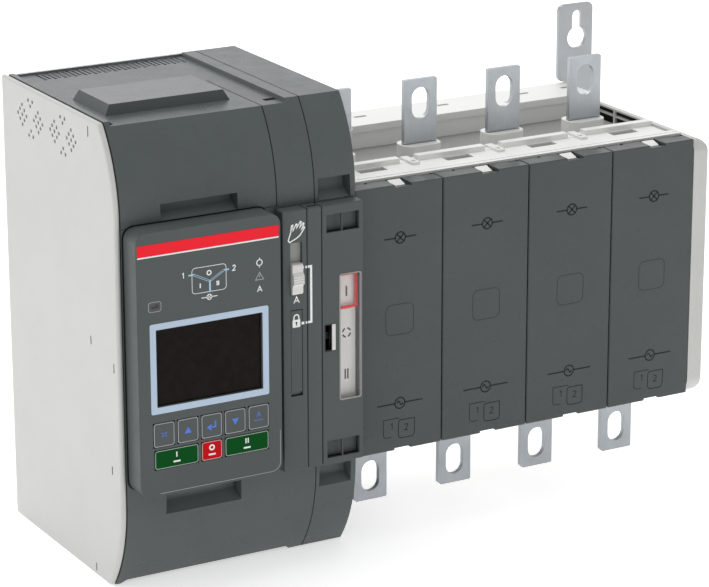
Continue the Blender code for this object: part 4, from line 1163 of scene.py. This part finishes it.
def ends():
    """Ribbed grey plate with dark painted shade in its four pockets, and the steel rail."""
    skin("end_plate", "grey")
    pockets = [(spans_y, spans_z) for spans_z in ((148.2, 231.7), (233.5, 236.1))
               for spans_y in ((59.2, 94.2), (97.2, 121.8))]
    for name, ((low_y, high_y), (low_z, high_z)) in zip("abcd", pockets):
        # Painted shade: dark sheets just behind the ribs, where the pockets lie in shadow.
        shade_sheet = block((261.4, low_y, low_z), (262.0, high_y, high_z))
        finish_piece(shade_sheet, "end_rib_shadow_" + name, "shadow")
    # The mounting rail takes the darker, painted-shade copy of the steel.
    skin("mounting_rail", "foot", edge=0.4, corner=40)


# ---- inside ----

INSIDE = {
    "display_module": "steel", "keypad_mat": "rubber", "panel_circuit_board": "board",
    "control_board": "board", "power_supply_board": "board", "control_terminal_strip": "black",
    "drive_frame": "steel", "drive_motor": "gear_steel", "front_contact_roll": "black",
    "rear_contact_roll": "black", "operating_shaft": "shaft",
    "idler_gear": "white", "motor_pinion": "gear_steel",
}


def inside():
    for node, look in INSIDE.items():
        skin(node, look, edge=0.3, body=body_of(node))


# ---- camera, light and floor ----

CAMERA_AT = (-0.995387, -1.826945, 0.623061)
CAMERA_ANGLES = (72.511, 0.109, -29.435)
SENSOR_WIDTH = 36.0
FOCAL_LENGTH = 160.6
BRIGHT_SIDE = (0.12, 0.98, 0.15)
DIM_LEVEL = 0.42
BRIGHT_LEVEL = 1.05
FLOOR_HALF_SIZE = 30.0
FLOOR_GAP = 0.0003


def camera():
    data = bpy.data.cameras.new("camera")
    data.sensor_width = SENSOR_WIDTH
    data.sensor_fit = "HORIZONTAL"
    data.lens = FOCAL_LENGTH
    item = bpy.data.objects.new("camera", data)
    bpy.context.scene.collection.objects.link(item)
    item.location = CAMERA_AT
    item.rotation_euler = [math.radians(angle) for angle in CAMERA_ANGLES]
    bpy.context.scene.camera = item


def area_light(name, at, size, power):
    """A round soft light that faces the object."""
    data = bpy.data.lights.new(name, "AREA")
    data.shape = "DISK"
    data.size = size
    data.energy = power
    item = bpy.data.objects.new(name, data)
    bpy.context.scene.collection.objects.link(item)
    item.location = at
    item.rotation_euler = (-Vector(at)).to_track_quat("-Z", "Y").to_euler()


def studio_world():
    """Soft surround, bright behind the object and dim in front of it."""
    world = bpy.data.worlds.new("studio")
    world.use_nodes = True
    tree = world.node_tree
    lean = tree.nodes.new("ShaderNodeVectorMath")
    lean.operation = "DOT_PRODUCT"
    lean.inputs[1].default_value = BRIGHT_SIDE
    tree.links.new(tree.nodes.new("ShaderNodeTexCoord").outputs["Generated"], lean.inputs[0])
    ramp = tree.nodes.new("ShaderNodeMapRange")
    ramp.inputs["From Min"].default_value = -0.7
    ramp.inputs["From Max"].default_value = 0.8
    ramp.inputs["To Min"].default_value = DIM_LEVEL
    ramp.inputs["To Max"].default_value = BRIGHT_LEVEL
    tree.links.new(lean.outputs["Value"], ramp.inputs["Value"])
    sky = tree.nodes["Background"]
    sky.inputs["Color"].default_value = (1.0, 1.0, 1.0, 1.0)
    tree.links.new(ramp.outputs["Result"], sky.inputs["Strength"])
    bpy.context.scene.world = world


def surroundings():
    studio_world()
    area_light("back_softbox", (0.35, 1.7, 1.3), 1.0, 4.0)
    area_light("overhead_softbox", (0.15, 0.25, 2.3), 1.4, 14.0)
    floor = bmesh.new()
    bmesh.ops.create_grid(floor, x_segments=1, y_segments=1, size=FLOOR_HALF_SIZE)
    bmesh.ops.translate(floor, verts=floor.verts, vec=(0, 0, CAD_BOX[0][2] - FLOOR_GAP))
    ground = from_work("floor", floor)
    look = Shader("floor", (0.93, 0.93, 0.93), 0.7)
    look.tint(look.noise(400.0, 3.0), 0.985, 1.0)
    look.main.inputs["Emission Color"].default_value = (1.0, 1.0, 1.0, 1.0)
    look.main.inputs["Emission Strength"].default_value = 0.52
    ground.data.materials.append(look.material)


camera()
left_side_panel()
main_housing()
control_terminal_cover()
other_housings()
back_plate()
panel_housing()
display()
panel_symbols()
keys()
modules()
mode_selector()
module_symbols()
indicator()
pole_covers()
front_switch_unit()
rear_switch_unit()
load_terminal_block()
bars()
ends()
inside()
surroundings()
bpy.context.scene.view_settings.view_transform = "Standard"
